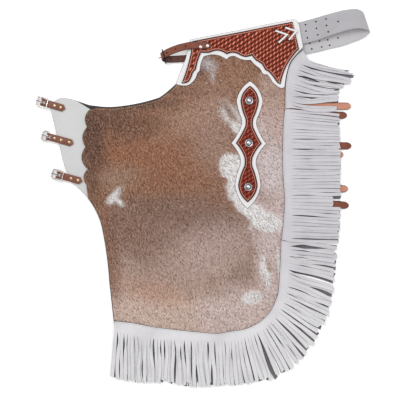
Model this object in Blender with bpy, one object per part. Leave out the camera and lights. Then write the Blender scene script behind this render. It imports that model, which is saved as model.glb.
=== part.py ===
"""Hair-on western chaps, folded in half and laid flat: two legs lie on each other, hair side out.

The upper leg shows its hair side. The lower leg is its mirror twin, turned face down beneath it.
Metres, +Z up. The floor is z = 0, +Y points to the waist and +X to the fringed outer seam.
Outlines are tables in millimetres. Each row is a corner and the bow of the edge that leaves it:
the height of an arc, plus where it swells out of the piece and minus where it cuts in.
"""

import random
from math import asin, atan2, ceil, cos, degrees, pi, radians, sin

import bmesh
import bpy
from mathutils import Matrix, Vector

for item in list(bpy.data.objects):
    bpy.data.objects.remove(item, do_unlink=True)

MM = 0.001
GAP = 0.0003          # between pieces that touch
SEAT = 0.0005         # under a fringe strip, which isn't cut along the folds of the hide
CENTRE = Vector((0.0002, -0.0027, 0.0))  # moves the outlines so that the whole lay is centred

# Thickness of each leather
HIDE = 0.0024
FLAP = 0.0022
TRIM = 0.0022
YOKE = 0.0028
ORNAMENT_TRIM = 0.0020
ORNAMENT = 0.0024
LOWER_YOKE = 0.0025
STRIP = 0.0018
STRAP = 0.0020
BELT = 0.0024
THONG = 0.0020
TAB = 0.0032
LOWER_TAB = 0.0021

# Fringe
STRAND = 0.0014       # thickness of a strand
STRAND_SHARE = 0.80   # of the pitch, the rest is the cut between two strands
TIP_SHARE = 0.88      # of its root's width, at the tip
LOWER_LAYER = 0.0003  # height of the lower leg's strands above the floor
UPPER_LAYER = 0.0045  # height of the upper leg's strands, which lie on straps and the lower strands
SWAY = 0.0035         # how far a group of strands leans along the seam

# Buckles
BAR = 0.0014          # radius of the bar that carries the prong
RIM = 0.0017          # radius of the frame's rim
PRONG = 0.0011        # radius of a prong
FOLD = 0.0019         # leather round the bar
FRAME_LONG = 0.034
FRAME_WIDE = 0.029
TAB_WIDE = 0.0195
PRONG_SLOT = 0.0070   # width of the slot that the prong turns in
SLOT_BEHIND = 0.0046  # how far the slot reaches behind the fold
SLOT_AHEAD = 0.01     # and ahead of the bar, past the leather
PRONG_HOLE = 0.0017   # radius of the hole that the waist buckle's prong fills
RIVET = 0.0040        # radius of a rivet's head
RIVET_RISE = 0.0016

# Height of the lower leg's hide above the floor: it lies flat but for its strips and its yoke
LOWER_ALONG_X = [(120, 0.0), (170, 2.4)]
LOWER_ALONG_Y = [(-310, 2.4), (-262, 0.0), (284, 0.0), (305, 2.8)]
# Room between the two hides: flaps at the left, straps at the right, soft long folds between
ROOM_ALONG_X = [(-276, 5.0), (-226, 0.0), (-150, 2.2), (-70, 0.0), (20, 1.9), (90, 0.0), (150, 2.3)]

# Outlines, in millimetres: x, y, bow
HIDE_TOP = [(205, 468, 0), (-8, 420, 0), (-34, 345, 0), (-72, 315, 0), (-84, 303, -1),
            (-119, 277, -3), (-224, 254, -2.5), (-290, 253, 0)]
UPPER_CORNER = [(-310, 247, 9)]
SCALLOPS = [(-316.5, 199, 10.5), (-321, 145, 13.5), (-315, 84, 9.5), (-318.5, 41, 0)]
HIDE_LEFT = [(-314, 5, -4), (-276, -70, -3), (-254, -228, 0), (-241, -342, 4)]
HIDE_REST = [(39, -377, 2), (118, -364, 11), (200, -300, 6.5), (226, -158, 0), (236, 0, 0),
             (231.5, 94, 0), (237, 250, 0), (238, 307, 0), (250, 352, 0), (272, 386, 0), (222, 408, 0)]
# The lower hide shows as a dark line past the upper one, at the crotch and down its left edge
LOWER_TOP = [(205, 468, 0), (-8, 420, 0), (-34, 345, 0), (-74, 317, 0), (-85, 307, -1),
             (-119, 281, -3), (-224, 257.5, -2.5), (-290, 257.5, 0)]
LOWER_CORNER = [(-311, 260, 0), (-346, 272, 0), (-322, 235, 5)]
LOWER_LEFT = [(-315.5, 4, -4), (-278, -70, -3), (-256, -228, 0), (-243, -342, 4)]
FLAP_EDGE = [(-280, 240, 0), (-310, 250, 0), (-346, 272, 1), (-385, 280, 7), (-417, 250, 0),
             (-389, 133, 3), (-360, 48, -2), (-318, 8, 0), (-298, 3, 0), (-286, 40, 0)]
TRIM_EDGE = [(257, 493, 0), (246, 494, 0), (-34, 439, 0), (-46, 388, 0), (-74, 317, 2.5),
             (-40, 313, 5), (-14, 346, 0), (-7, 354, -2.5), (4, 392, -9), (66, 383.5, -7.5),
             (97, 388.4, 2.8), (131.5, 382.5, 0.9), (149, 364.2, -1), (160.5, 353.3, 2.5),
             (170.5, 342, -1.6), (179.6, 339.6, -0.6), (191, 321.3, 0), (202.5, 311.5, 1.5),
             (218.5, 304.5, 0), (223.5, 308, -1.5), (234, 364, -1.5), (247, 388, -0.5),
             (276, 417.5, 0), (265, 478, 0)]
YOKE_EDGE = [(246, 487, 0), (-28, 434, 0), (-32, 403, -2), (-57.5, 319, 1.8), (-38, 323.5, 1.5),
             (-27.5, 345, -1), (-18.5, 356, -1.5), (-4, 403, 0.8), (20, 402.7, -7.7),
             (66, 398.2, -4.8), (100, 397.8, 5.4), (135, 395.5, 1), (147, 380.3, -0.6),
             (163, 370.2, 0), (170.3, 356.8, 0.9), (179.5, 351.4, -1), (201.4, 323.9, 1.3),
             (213.3, 316, -8.6), (264, 412, 0)]

# The ornament's half outline, from its upper tip: distance down its axis, half width, bow
ORNAMENT_AXIS = ((130.4, 325), (122.9, -25))
ORNAMENT_TRIM_HALF = [(0, 0, 7), (54, 36, 2), (102, 21.4, -1.5), (124, 21.6, -2), (171, 48, -2.6),
                      (211, 22.3, -1.2), (233, 22.6, 2), (285, 35.3, 7), (350, 0, 0)]
ORNAMENT_HALF = [(13, 0, 6), (55, 25, 2), (102, 11, -1.3), (125, 11, -1), (170.5, 35.3, -2.6),
                 (210, 11, -1.2), (233, 11, 2), (285, 26.6, 6), (332, 0, 0)]
# Conchos: name, x, y, radius, rise
CONCHOS = [("concho_1", 127.9, 271.7, 11.5, 4.6), ("concho_2", 126.9, 155.4, 11.5, 4.6),
           ("concho_3", 125.4, 35.2, 11.5, 4.6)]

# Fringe rows: the strip's inner edge x, y, the strands' roots x, y and their tips x, y
FRINGE_HIP = [(275, 410, 289, 384, 401, 357), (257, 395, 271, 373, 413, 344),
              (241, 373, 262.5, 357, 413, 326), (232.5, 348, 257, 336, 382, 312),
              (228, 320, 249.5, 312, 376, 293), (226.8, 301, 245.5, 283, 374, 274),
              (226, 250, 244, 251, 375, 253)]
FRINGE_SIDE = [(225, 248, 243.5, 248, 376, 247), (221, 200, 243.5, 205, 377, 200),
               (220, 164, 243.5, 164, 377, 163), (219.5, 100, 243.4, 100, 380, 100),
               (221, 55, 243, 55, 379, 55), (225, 0, 243.4, 0, 380, -3),
               (222, -52, 243, -62, 378, -68), (216, -109, 241.5, -115, 373, -119)]
FRINGE_HEM = [(215, -111, 240.5, -118, 372, -123), (213, -165, 236, -173, 365, -199),
              (208, -246, 232, -246, 351, -298), (200, -275, 220, -286, 329, -356),
              (189, -299, 194.5, -325, 287, -425), (172, -320, 173, -348, 246, -463),
              (147, -340, 150, -362, 205, -490), (112, -355, 121, -375, 153, -503),
              (74, -361, 91, -385, 106, -508), (39, -366, 34, -387, 40, -512),
              (-7, -363, -29, -385, -26, -515), (-83, -355, -92, -382, -89, -504),
              (-136, -348, -156, -376, -155, -503), (-189, -338, -206, -366, -206, -498),
              (-242, -332, -242, -360, -252, -487)]
# Name, rows, strands on the upper leg, strands on the lower leg
FRINGES = [("hip", FRINGE_HIP, 18, 13), ("side", FRINGE_SIDE, 40, 28), ("hem", FRINGE_HEM, 73, 50)]
SHORT_NEAR = (-14, 13)   # upper strands between these y end early, where a strap lies over them
SHORT_TO = 0.82

# Leg straps: name, leg, then x, y at the root and at the free end
STRAPS = [("leg_strap_1", "upper", 176, 232, 397, 232), ("leg_strap_2", "upper", 176, 148, 409, 148),
          ("leg_strap_3", "upper", 176, 2, 402, -16), ("lower_strap_1", "lower", 176, 257, 408, 257),
          ("lower_strap_2", "lower", 176, 124, 387, 124), ("lower_strap_3", "lower", 176, 29, 400, 30)]
STRAP_WIDE = 20
STRAP_END = ((14, 1), (8, 0.88), (3, 0.6), (0, 0.2))   # mm before the free end, share of the width

# Leg buckles: number, x, y of the tab's tip, x, y of the frame's front, whether the frame has a back half,
# and the rivets' distances from the tip
BUCKLES = [(1, -376, 249, -456, 273, True, (13, 31)), (2, -353, 154, -441, 178, False, (13, 36, 55)),
           (3, -329, 50, -414, 73, True, (13, 33))]
FLAT_TILT = 6                # degrees that a frame without a back half leans forward

# The belt, from the upper leg round its turn to the lower leg: x, y, z, the way across, width
BELT_ROWS = [(231, 447.5, 11.4, 101, 59), (268, 456.2, 11.4, 101.5, 60), (307, 466.1, 13.2, 102, 60),
             (343.5, 477.4, 16.8, 102, 58), (380, 488.0, 20.8, 99, 56), (411, 493.5, 23.6, 96, 54),
             (427, 493.5, 24.0, 98, 53), (439, 490.5, 22.0, 102, 52), (446.5, 486.5, 18.2, 106, 51),
             (449, 482.5, 13.8, 109, 51), (446, 478, 9.0, 109, 52), (437, 472, 5.4, 107, 54),
             (422, 465.5, 3.6, 104, 57), (400, 458.3, 2.6, 103, 59), (378, 451.3, 2.6, 103, 60),
             (343, 443.3, 2.8, 103, 60), (308, 434.5, 3.6, 103, 60), (276, 428.5, 4.0, 103, 60),
             (238, 419, 4.0, 103, 60)]

# The waist strap: the stretch on the yoke, then free round the buckle's bar and back: x, y, z, across, width
WAIST_ROWS = [(-36, 421.5, 16.6, 104, 20), (-62, 415.5, 17.6, 106, 20), (-84, 407.5, 18.4, 107, 20),
              (-98, 401, 18.9, 107, 20), (-105, 397, 18.7, 106.5, 19), (-110.4, 393.8, 16.8, 106, 19),
              (-112.4, 391.4, 13.0, 105.5, 19), (-110.4, 388.8, 9.2, 105, 19),
              (-105, 386.8, 7.3, 104, 19), (-96, 385.4, 6.9, 100, 19), (-76, 385.8, 5.6, 97, 19),
              (-58, 387.2, 4.2, 96, 19), (-29, 389.6, 4.2, 96, 19)]
WAIST_TIP = (24, 422.5)      # the pointed end that is riveted on the yoke
WAIST_FROM = (-30, 422.5)
WAIST_HOLES = [(-46, 419.8, 12, 22), (-74, 411.5, 12, 22), (-97.5, 401.2, 12, 22),
               (-68, 386.4, 0, 9.5), (-87, 385.5, 0, 9.5)]
STRAP_HOLE = 0.0018          # radius
WAIST_RIVETS = [("waist_rivet_1", -5.0, 418.0), ("waist_rivet_2", 14.0, 420.8)]
WAIST_BAR = (-105.3, 392.2, 13.0)
WAIST_ACROSS = 105.5
WAIST_FRAME = (42, 24)       # along the bar, and upright

# The thong's two chevrons on the yoke: x, y of one end, the point and the other end
THONGS = [("thong_1", (199, 462), (231, 451), (208, 429)),
          ("thong_2", (226, 470.5), (256.5, 460.5), (236, 437))]
THONG_WIDE = 6

# How far down a strand falls to its layer: share of the strand, share of the fall
UPPER_DROPS = ((0.14, 0.08), (0.42, 0.9), (0.72, 1.0), (1.0, 1.0))
LOWER_DROPS = ((0.5, 1.0), (1.0, 1.0))


def material(name, colour, roughness, metallic=0.0):
    made = bpy.data.materials.new(name)
    made.use_nodes = True
    shader = made.node_tree.nodes["Principled BSDF"]
    shader.inputs["Base Color"].default_value = (*colour, 1.0)
    shader.inputs["Roughness"].default_value = roughness
    shader.inputs["Metallic"].default_value = metallic
    return made


HAIR = material("hair_on_hide", (0.42, 0.29, 0.20), 0.7)
FLESH = material("flesh_side", (0.55, 0.30, 0.20), 0.8)
PALE = material("pale_leather", (0.60, 0.61, 0.62), 0.6)
WHITE = material("white_leather", (0.80, 0.78, 0.80), 0.5)
TOOLED = material("tooled_leather", (0.30, 0.07, 0.03), 0.4)
BROWN = material("strap_leather", (0.38, 0.09, 0.03), 0.45)
NICKEL = material("nickel", (0.72, 0.70, 0.66), 0.25, 1.0)


def add(name, bm, finish, smooth=False):
    """Closes a mesh as one named object, with its faces pointing out."""
    bmesh.ops.recalc_face_normals(bm, faces=bm.faces)
    bmesh.ops.translate(bm, verts=bm.verts, vec=CENTRE)
    mesh = bpy.data.meshes.new(name)
    bm.to_mesh(mesh)
    bm.free()
    if smooth:
        mesh.shade_smooth()
        mesh.set_sharp_from_angle(angle=radians(40))
    thing = bpy.data.objects.new(name, mesh)
    thing.data.materials.append(finish)
    bpy.context.collection.objects.link(thing)
    return thing


def level(rows, at):
    """Height in metres at a place, straight between a table's rows and level past its ends."""
    at = at / MM
    if at <= rows[0][0]:
        return rows[0][1] * MM
    for (start, low), (end, high) in zip(rows, rows[1:]):
        if at <= end:
            return (low + (high - low) * (at - start) / (end - start)) * MM
    return rows[-1][1] * MM


def lower_hide(x, y):
    return level(LOWER_ALONG_X, x) + level(LOWER_ALONG_Y, y)


def upper_hide(x, y):
    return lower_hide(x, y) + HIDE + GAP + level(ROOM_ALONG_X, x)


def above(surface, *layers):
    """The surface that lies over another one and the layers on it, each with its gap."""
    lift = sum(layers) + GAP * len(layers)
    return lambda x, y: surface(x, y) + lift


FLOOR = lambda x, y: 0.0
ON_HIDE = above(upper_hide, HIDE)
ON_TRIM = above(upper_hide, HIDE, TRIM)
ON_YOKE = above(upper_hide, HIDE, TRIM, YOKE)
ON_ORNAMENT_TRIM = above(upper_hide, HIDE, ORNAMENT_TRIM)
ON_ORNAMENT = above(upper_hide, HIDE, ORNAMENT_TRIM, ORNAMENT)


def bowed(rows, closed=True):
    """Points of an outline from its corners and bows, anticlockwise, in metres."""
    points = []
    ends = rows[1:] + rows[:1] if closed else rows[1:]
    for (x, y, bow), (next_x, next_y, _) in zip(rows, ends):
        start = Vector((x, y)) * MM
        end = Vector((next_x, next_y)) * MM
        chord = end - start
        out = Vector((chord.y, -chord.x)).normalized() * bow * MM
        steps = 1 if not bow else max(2, ceil(8 * abs(bow) * MM / chord.length * 1.6) + 1)
        for step in range(steps):
            share = step / steps
            points.append(start + chord * share + out * 4 * share * (1 - share))
    if not closed:
        points.append(Vector(rows[-1][:2]) * MM)
    return points


def panel(name, points, bottom, thick, finish):
    """A cut piece of leather on a surface: its outline, creased along the folds, then thickened."""
    bm = bmesh.new()
    bm.faces.new([bm.verts.new((point.x, point.y, 0)) for point in points])
    folds = [((at * MM, 0, 0), (1, 0, 0)) for at, _ in LOWER_ALONG_X + ROOM_ALONG_X]
    folds += [((0, at * MM, 0), (0, 1, 0)) for at, _ in LOWER_ALONG_Y]
    if bottom is not FLOOR:
        for place, normal in folds:
            geometry = bm.verts[:] + bm.edges[:] + bm.faces[:]
            bmesh.ops.bisect_plane(bm, geom=geometry, dist=1e-6, plane_co=place, plane_no=normal)
    for vert in bm.verts:
        vert.co.z = bottom(vert.co.x, vert.co.y)
    top = bmesh.ops.extrude_face_region(bm, geom=bm.faces[:], use_keep_orig=True)
    raised = [part for part in top["geom"] if isinstance(part, bmesh.types.BMVert)]
    bmesh.ops.translate(bm, verts=raised, vec=(0, 0, thick))
    return add(name, bm, finish)


def through(rows, share):
    """A row between a table's rows, on a smooth curve through them; share runs from 0 to 1."""
    place = share * (len(rows) - 1)
    index = min(int(place), len(rows) - 2)
    t = place - index
    before = rows[max(index - 1, 0)]
    start = rows[index]
    end = rows[index + 1]
    after = rows[min(index + 2, len(rows) - 1)]
    return [0.5 * (2 * b + (c - a) * t + (2 * a - 5 * b + 4 * c - d) * t * t
                   + (3 * b - a - 3 * c + d) * t ** 3) for a, b, c, d in zip(before, start, end, after)]


def evenly(rows):
    """The share of a table's run at which each step of its strands' roots lies."""
    marks = [through(rows, step / 200) for step in range(201)]
    run = [0.0]
    for one, two in zip(marks, marks[1:]):
        run.append(run[-1] + (Vector(two[2:4]) - Vector(one[2:4])).length)

    def share_at(part):
        wanted = part * run[-1]
        step = next(i for i, length in enumerate(run) if length >= wanted - 1e-9)
        if step == 0:
            return 0.0
        return (step - 1 + (wanted - run[step - 1]) / (run[step] - run[step - 1])) / 200

    return share_at


def ring(bm, start, end, low, high):
    """Four corners of a strand's section, from its left edge to its right edge."""
    return [bm.verts.new((*start, low)), bm.verts.new((*start, high)),
            bm.verts.new((*end, high)), bm.verts.new((*end, low))]


def tube_faces(bm, one, two):
    for i in range(len(one)):
        j = (i + 1) % len(one)
        bm.faces.new((one[i], one[j], two[j], two[i]))


def fringe(name, rows, strands, strip_bottom, rest, drops, seed, finish):
    """A sewn strip whose outer edge is cut into strands. drops: share of a strand, share of its fall."""
    chance = random.Random(seed)
    bm = bmesh.new()
    share_at = evenly(rows)
    marks = [0.0]
    for i in range(strands):
        marks += [(i + 0.5 - STRAND_SHARE / 2) / strands, (i + 0.5 + STRAND_SHARE / 2) / strands]
    marks.append(1.0)
    stations = []
    for mark in marks:
        row = through(rows, share_at(mark))
        inner = Vector(row[0:2]) * MM
        root = Vector(row[2:4]) * MM
        heights = [strip_bottom(*inner), strip_bottom(*root)]
        section = [bm.verts.new((*inner, heights[0])), bm.verts.new((*inner, heights[0] + STRIP)),
                   bm.verts.new((*root, heights[1] + STRIP)), bm.verts.new((*root, heights[1]))]
        stations.append((mark, section))
    bm.faces.new(stations[0][1])
    bm.faces.new(stations[-1][1])
    for index, ((mark, one), (next_mark, two)) in enumerate(zip(stations, stations[1:])):
        for a, b in ((0, 1), (1, 2), (3, 0)):
            bm.faces.new((one[a], one[b], two[b], two[a]))
        if index % 2 == 0:
            bm.faces.new((one[2], one[3], two[3], two[2]))
            continue
        strand = [one[3], one[2], two[2], two[3]]
        middle = through(rows, share_at((mark + next_mark) / 2))
        root = Vector(middle[2:4]) * MM
        tip = Vector(middle[4:6]) * MM
        reach = 1.0 - chance.uniform(0.0, 0.05)
        if rest > LOWER_LAYER and SHORT_NEAR[0] < root.y / MM < SHORT_NEAR[1]:
            reach = SHORT_TO
        across = (two[3].co - one[3].co).to_2d()
        lean = SWAY * sin(index * 0.16 + seed) * sin(index * 0.043 + 1.3 * seed)
        lean += chance.uniform(-0.0004, 0.0004)
        top = (one[3].co.z + two[3].co.z) / 2
        before = strand
        for part, fall in drops:
            centre = root.lerp(tip, part * reach) + across.normalized() * lean * part ** 1.5
            spread = through(rows, share_at(next_mark))
            other = through(rows, share_at(mark))
            fan = (Vector(spread[4:6]) - Vector(other[4:6])).length * MM / across.length
            half = across * (1 + (TIP_SHARE * min(fan, 1.15) - 1) * part) / 2
            low = top + (rest - top) * fall
            section = ring(bm, centre - half, centre + half, low, low + STRAND)
            tube_faces(bm, before, section)
            before = section
        bm.faces.new(before)
    return add(name, bm, finish)


def ribbon(name, rows, thick, finish):
    """A strap through its sections: x, y, z of the middle, the direction across it, its width."""
    bm = bmesh.new()
    middles = [Vector(row[:3]) * MM for row in rows]
    sections = []
    for index, (x, y, z, turn, wide) in enumerate(rows):
        along = middles[min(index + 1, len(rows) - 1)] - middles[max(index - 1, 0)]
        across = Vector((cos(radians(turn)), sin(radians(turn)), 0))
        normal = along.cross(across).normalized() * thick / 2
        side = across * wide * MM / 2
        sections.append([bm.verts.new(middles[index] + a + b) for a, b in
                         ((side, normal), (-side, normal), (-side, -normal), (side, -normal))])
    for one, two in zip(sections, sections[1:]):
        tube_faces(bm, one, two)
    bm.faces.new(sections[0])
    bm.faces.new(sections[-1])
    return add(name, bm, finish)


def turned(name, profile, place, finish, sides=12):
    """A round piece: a profile of radius and height, turned about an upright axis."""
    bm = bmesh.new()
    rings = []
    for radius, height in profile:
        if radius == 0:
            rings.append([bm.verts.new(place + Vector((0, 0, height)))])
        else:
            rings.append([bm.verts.new(place + Vector((radius * cos(2 * pi * i / sides),
                                                       radius * sin(2 * pi * i / sides), height)))
                          for i in range(sides)])
    for one, two in zip(rings, rings[1:]):
        if len(two) == 1:
            for i in range(sides):
                bm.faces.new((one[i], one[(i + 1) % sides], two[0]))
        else:
            tube_faces(bm, one, two)
    bm.faces.new(rings[0])
    return add(name, bm, finish, smooth=True)


def swept(path, radii, sides, frame, closed=False):
    """A rod along a path in the plane of a frame's first two axes. The third axis is the plane's normal."""
    bm = bmesh.new()
    sections = []
    for index, (point, radius) in enumerate(zip(path, radii)):
        ahead = path[(index + 1) % len(path)] if closed else path[min(index + 1, len(path) - 1)]
        behind = path[index - 1] if closed else path[max(index - 1, 0)]
        along = (Vector(ahead) - Vector(behind)).normalized()
        side = Vector((-along.y, along.x))
        section = []
        for k in range(sides):
            turn = 2 * pi * (k + 0.5) / sides
            local = Vector((*(Vector(point) + side * radius * cos(turn)), radius * sin(turn)))
            section.append(bm.verts.new(frame @ local))
        sections.append(section)
    for one, two in zip(sections, sections[1:]):
        tube_faces(bm, one, two)
    if closed:
        tube_faces(bm, sections[-1], sections[0])
    else:
        bm.faces.new(sections[0])
        bm.faces.new(sections[-1])
    return bm


def cutter(name, bm):
    """A guide solid that only shapes another piece."""
    guide = add(name, bm, NICKEL)
    guide.hide_render = True
    guide.display_type = "WIRE"
    return guide


def shape(thing, operation, guide):
    change = thing.modifiers.new(guide.name, "BOOLEAN")
    change.operation = operation
    change.solver = "EXACT"
    change.object = guide


def rod(name, start, end, radius, sides=8):
    """A straight guide rod between two points."""
    bm = bmesh.new()
    run = end - start
    turn = run.to_track_quat("Z", "Y").to_matrix().to_4x4()
    place = Matrix.Translation((start + end) / 2) @ turn
    bmesh.ops.create_cone(bm, cap_ends=True, segments=sides, radius1=radius, radius2=radius,
                          depth=run.length, matrix=place)
    return cutter(name, bm)


def buckle_frame(origin, heading, pitch=0.0):
    """A buckle's own axes: forward along the tab to the frame's front, across it, and up."""
    turn = Matrix.Rotation(heading, 4, "Z") @ Matrix.Rotation(-pitch, 4, "Y")
    return Matrix.Translation(origin) @ turn


def rim(name, axes, front, back, wide, sides=8):
    """A rounded frame about the bar at its origin, and the bar itself, fused to it."""
    half = wide / 2 - RIM
    corner = 0.004 if back else 0.0025
    path = []
    for x, y, start in ((front - corner, half - corner, 0), (-back + corner, half - corner, 90),
                        (-back + corner, -half + corner, 180), (front - corner, -half + corner, 270)):
        for step in (0, 45, 90):
            turn = radians(start + step)
            path.append((x + corner * cos(turn), y + corner * sin(turn)))
    radii = [RIM if back or x > 0.001 else BAR for x, _ in path]
    thing = add(name, swept(path, radii, sides, axes, closed=True), NICKEL, smooth=True)
    ends = [axes @ Vector((0, sign * half, 0)) for sign in (-1, 1)]
    if back > 0:
        shape(thing, "UNION", rod(name + "_bar", ends[0], ends[1], BAR, sides))
    return thing


def prong_path(reach, drop):
    """Side view of a prong: curled round its bar, then straight to the frame's front."""
    curl = BAR + GAP + PRONG
    path = [(curl * cos(radians(turn)), curl * sin(radians(turn))) for turn in range(350, 84, -33)]
    return path + [(reach * 0.5, curl - (curl - drop) * 0.45), (reach * 0.93, drop), (reach, drop - 0.0004)]


def prong(name, axes, reach, drop):
    """A prong whose curl turns on the bar. Its object's origin is on the bar's axis."""
    side_view = axes @ Matrix(((1, 0, 0, 0), (0, 0, -1, 0), (0, 1, 0, 0), (0, 0, 0, 1)))
    path = prong_path(reach, drop)
    radii = [PRONG] * (len(path) - 1) + [PRONG * 0.6]
    thing = add(name, swept(path, radii, 6, side_view), NICKEL, smooth=True)
    pivot = axes.translation + CENTRE
    thing.data.transform(Matrix.Translation(-pivot))
    thing.location = pivot
    return thing


def tab(name, axes, length, thick, radius):
    """A strap end folded round the buckle's bar, with a slot for the prong and a pointed tail.

    The bar is at the axes' origin, and the tail runs back along -X."""
    low = -radius
    arc = [(radius * cos(radians(turn)), radius * sin(radians(turn))) for turn in range(-90, 151, 30)]
    top = low + thick
    meet = (-radius * 0.98, top)
    profile = [(-length + TAB_WIDE * 0.4, low), *arc, meet, (-length + TAB_WIDE * 0.4, top)]
    bm = bmesh.new()
    rows = []
    for across in (-TAB_WIDE / 2, 0.0, TAB_WIDE / 2):
        rows.append([bm.verts.new(axes @ Vector((x, across, z))) for x, z in profile])
    for one, two in zip(rows, rows[1:]):
        tube_faces(bm, one, two)
    bm.faces.new(rows[0])
    bm.faces.new(rows[-1])
    point = axes.to_3x3() @ Vector((-TAB_WIDE * 0.4, 0, 0))
    for corner in (rows[1][0], rows[1][-1]):
        corner.co += point
    thing = add(name, bm, BROWN)
    side = Vector((0, TAB_WIDE, 0))
    shape(thing, "DIFFERENCE", rod(name + "_bore", axes @ -side, axes @ side, BAR + GAP, 10))
    bm = bmesh.new()
    deep = radius + SLOT_BEHIND
    size = Matrix.Diagonal((deep + SLOT_AHEAD, PRONG_SLOT, 0.03, 1))
    middle = Matrix.Translation(((SLOT_AHEAD - deep) / 2, 0, 0))
    bmesh.ops.create_cube(bm, size=1, matrix=axes @ middle @ size)
    shape(thing, "DIFFERENCE", cutter(name + "_slot", bm))
    return thing


def spindle(half):
    """The ornament's outline from one half of it, mirrored about its axis."""
    start, end = (Vector(point) for point in ORNAMENT_AXIS)
    down = (end - start).normalized()
    out = Vector((down.y, -down.x))
    left = bowed([(along, -wide, bow) for along, wide, bow in half], closed=False)
    points = []
    for point in left:
        points.append((start + down * point.x / MM + out * point.y / MM) * MM)
    for point in reversed(left[1:-1]):
        points.append((start + down * point.x / MM - out * point.y / MM) * MM)
    return points


def upper_leg():
    outline = HIDE_TOP + UPPER_CORNER + SCALLOPS + HIDE_LEFT + HIDE_REST
    panel("leg_hide", bowed(outline), upper_hide, HIDE, HAIR)
    panel("leg_flap", bowed(FLAP_EDGE), lambda x, y: upper_hide(x, y) - GAP - FLAP, FLAP, PALE)
    panel("yoke_trim", bowed(TRIM_EDGE), ON_HIDE, TRIM, WHITE)
    panel("yoke", bowed(YOKE_EDGE), ON_TRIM, YOKE, TOOLED)
    panel("ornament_trim", spindle(ORNAMENT_TRIM_HALF), ON_HIDE, ORNAMENT_TRIM, WHITE)
    panel("ornament", spindle(ORNAMENT_HALF), ON_ORNAMENT_TRIM, ORNAMENT, TOOLED)


def lower_leg():
    outline = LOWER_TOP + LOWER_CORNER + SCALLOPS + LOWER_LEFT + HIDE_REST
    panel("lower_hide", bowed(outline), lower_hide, HIDE, FLESH)
    panel("lower_flap", bowed(FLAP_EDGE), above(lower_hide, HIDE), FLAP, PALE)
    panel("lower_yoke", bowed(TRIM_EDGE), FLOOR, LOWER_YOKE, WHITE)


def seat(surface, x, y, radius):
    """The highest point of a surface under a round piece."""
    rim_points = [(x + radius * cos(turn), y + radius * sin(turn)) for turn in (0, 1, 2, 3, 4, 5, 6)]
    return max(surface(*point) for point in rim_points + [(x, y)])


def conchos():
    for name, x, y, radius, rise in CONCHOS:
        radius, rise = radius * MM, rise * MM
        base = Vector((x * MM, y * MM, seat(ON_ORNAMENT, x * MM, y * MM, radius)))
        profile = [(radius, 0), (radius, 0.0008), (radius * 0.72, 0.0016), (radius * 0.52, rise * 0.75),
                   (radius * 0.25, rise * 0.97), (0, rise)]
        turned(name, profile, base, NICKEL, sides=16)


def fringes():
    for index, (place, rows, upper, lower) in enumerate(FRINGES):
        fringe("fringe_" + place, rows, upper, lambda x, y: upper_hide(x, y) + HIDE + SEAT, UPPER_LAYER,
               UPPER_DROPS, 3 + index, PALE)
        fringe("lower_fringe_" + place, rows, lower, lambda x, y: LOWER_LAYER, LOWER_LAYER,
               LOWER_DROPS, 7 + index, PALE)


def straps():
    """Leg straps between the two hides. Past the hides' edge they sag on the lower strands."""
    between = lower_hide(0.2, 0) + HIDE + GAP + STRAP / 2
    sagged = LOWER_LAYER + STRAND + GAP + STRAP / 2
    for name, leg, x, y, end_x, end_y in STRAPS:
        turn = 90 + degrees(atan2(end_y - y, end_x - x))
        rows = []
        stations = [(x, between, 1), (236, between, 1), (272, sagged, 1)]
        stations += [(end_x - short, sagged, wide) for short, wide in STRAP_END]
        for at, height, wide in stations:
            share = (at - x) / (end_x - x)
            rows.append((at, y + (end_y - y) * share, height / MM, turn, STRAP_WIDE * wide))
        ribbon(name, rows, STRAP, BROWN if leg == "upper" else FLESH)


def buckles():
    """The three open buckles of each leg, on their tabs."""
    fold = BAR + GAP + FOLD
    lower_fold = BAR + GAP + 0.0013
    flap_top = upper_hide(-0.4, 0.1) - GAP
    for number, tip_x, tip_y, front_x, front_y, whole, rivets in BUCKLES:
        tip = Vector((tip_x, tip_y, 0)) * MM
        front = Vector((front_x, front_y, 0)) * MM
        heading = atan2(front.y - tip.y, front.x - tip.x)
        back = FRAME_LONG / 2 if whole else 0.0
        bar = front - (front - tip).normalized() * FRAME_LONG / 2
        length = (bar - tip).length
        bar.z = flap_top + GAP + fold
        level_axes = buckle_frame(bar, heading)
        tab(f"buckle_tab_{number}", level_axes, length, TAB, fold)
        half = FRAME_LONG / 2 - RIM
        tilt = asin((TAB - fold + RIM + 2 * GAP) / half) if whole else radians(FLAT_TILT)
        tilted = buckle_frame(bar, heading, -tilt)
        rim(f"buckle_frame_{number}", tilted, half, half if whole else 0.0, FRAME_WIDE)
        prong(f"buckle_prong_{number}", tilted, FRAME_LONG / 2 + 0.001, RIM + GAP + PRONG)
        for count, distance in enumerate(rivets):
            spot = tip.lerp(bar, distance * MM / (bar - tip).length)
            spot.z = flap_top + GAP + TAB + GAP
            head = [(RIVET, 0), (RIVET, 0.0005), (RIVET * 0.7, RIVET_RISE * 0.8), (0, RIVET_RISE)]
            turned(f"tab_rivet_{number}_{count + 1}", head, spot, NICKEL, sides=10)
        bar.z = LOWER_LAYER + lower_fold
        low_axes = buckle_frame(bar, heading)
        tab(f"lower_tab_{number}", low_axes, length, LOWER_TAB, lower_fold)
        lower = rim(f"lower_buckle_{number}", low_axes, half, 0.0, FRAME_WIDE, sides=6)
        prong_end = low_axes @ Vector((half, 0, 0))
        shape(lower, "UNION", rod(f"lower_prong_{number}", bar, prong_end, PRONG, 6))


def belt():
    ribbon("belt", BELT_ROWS, BELT, PALE)


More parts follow.
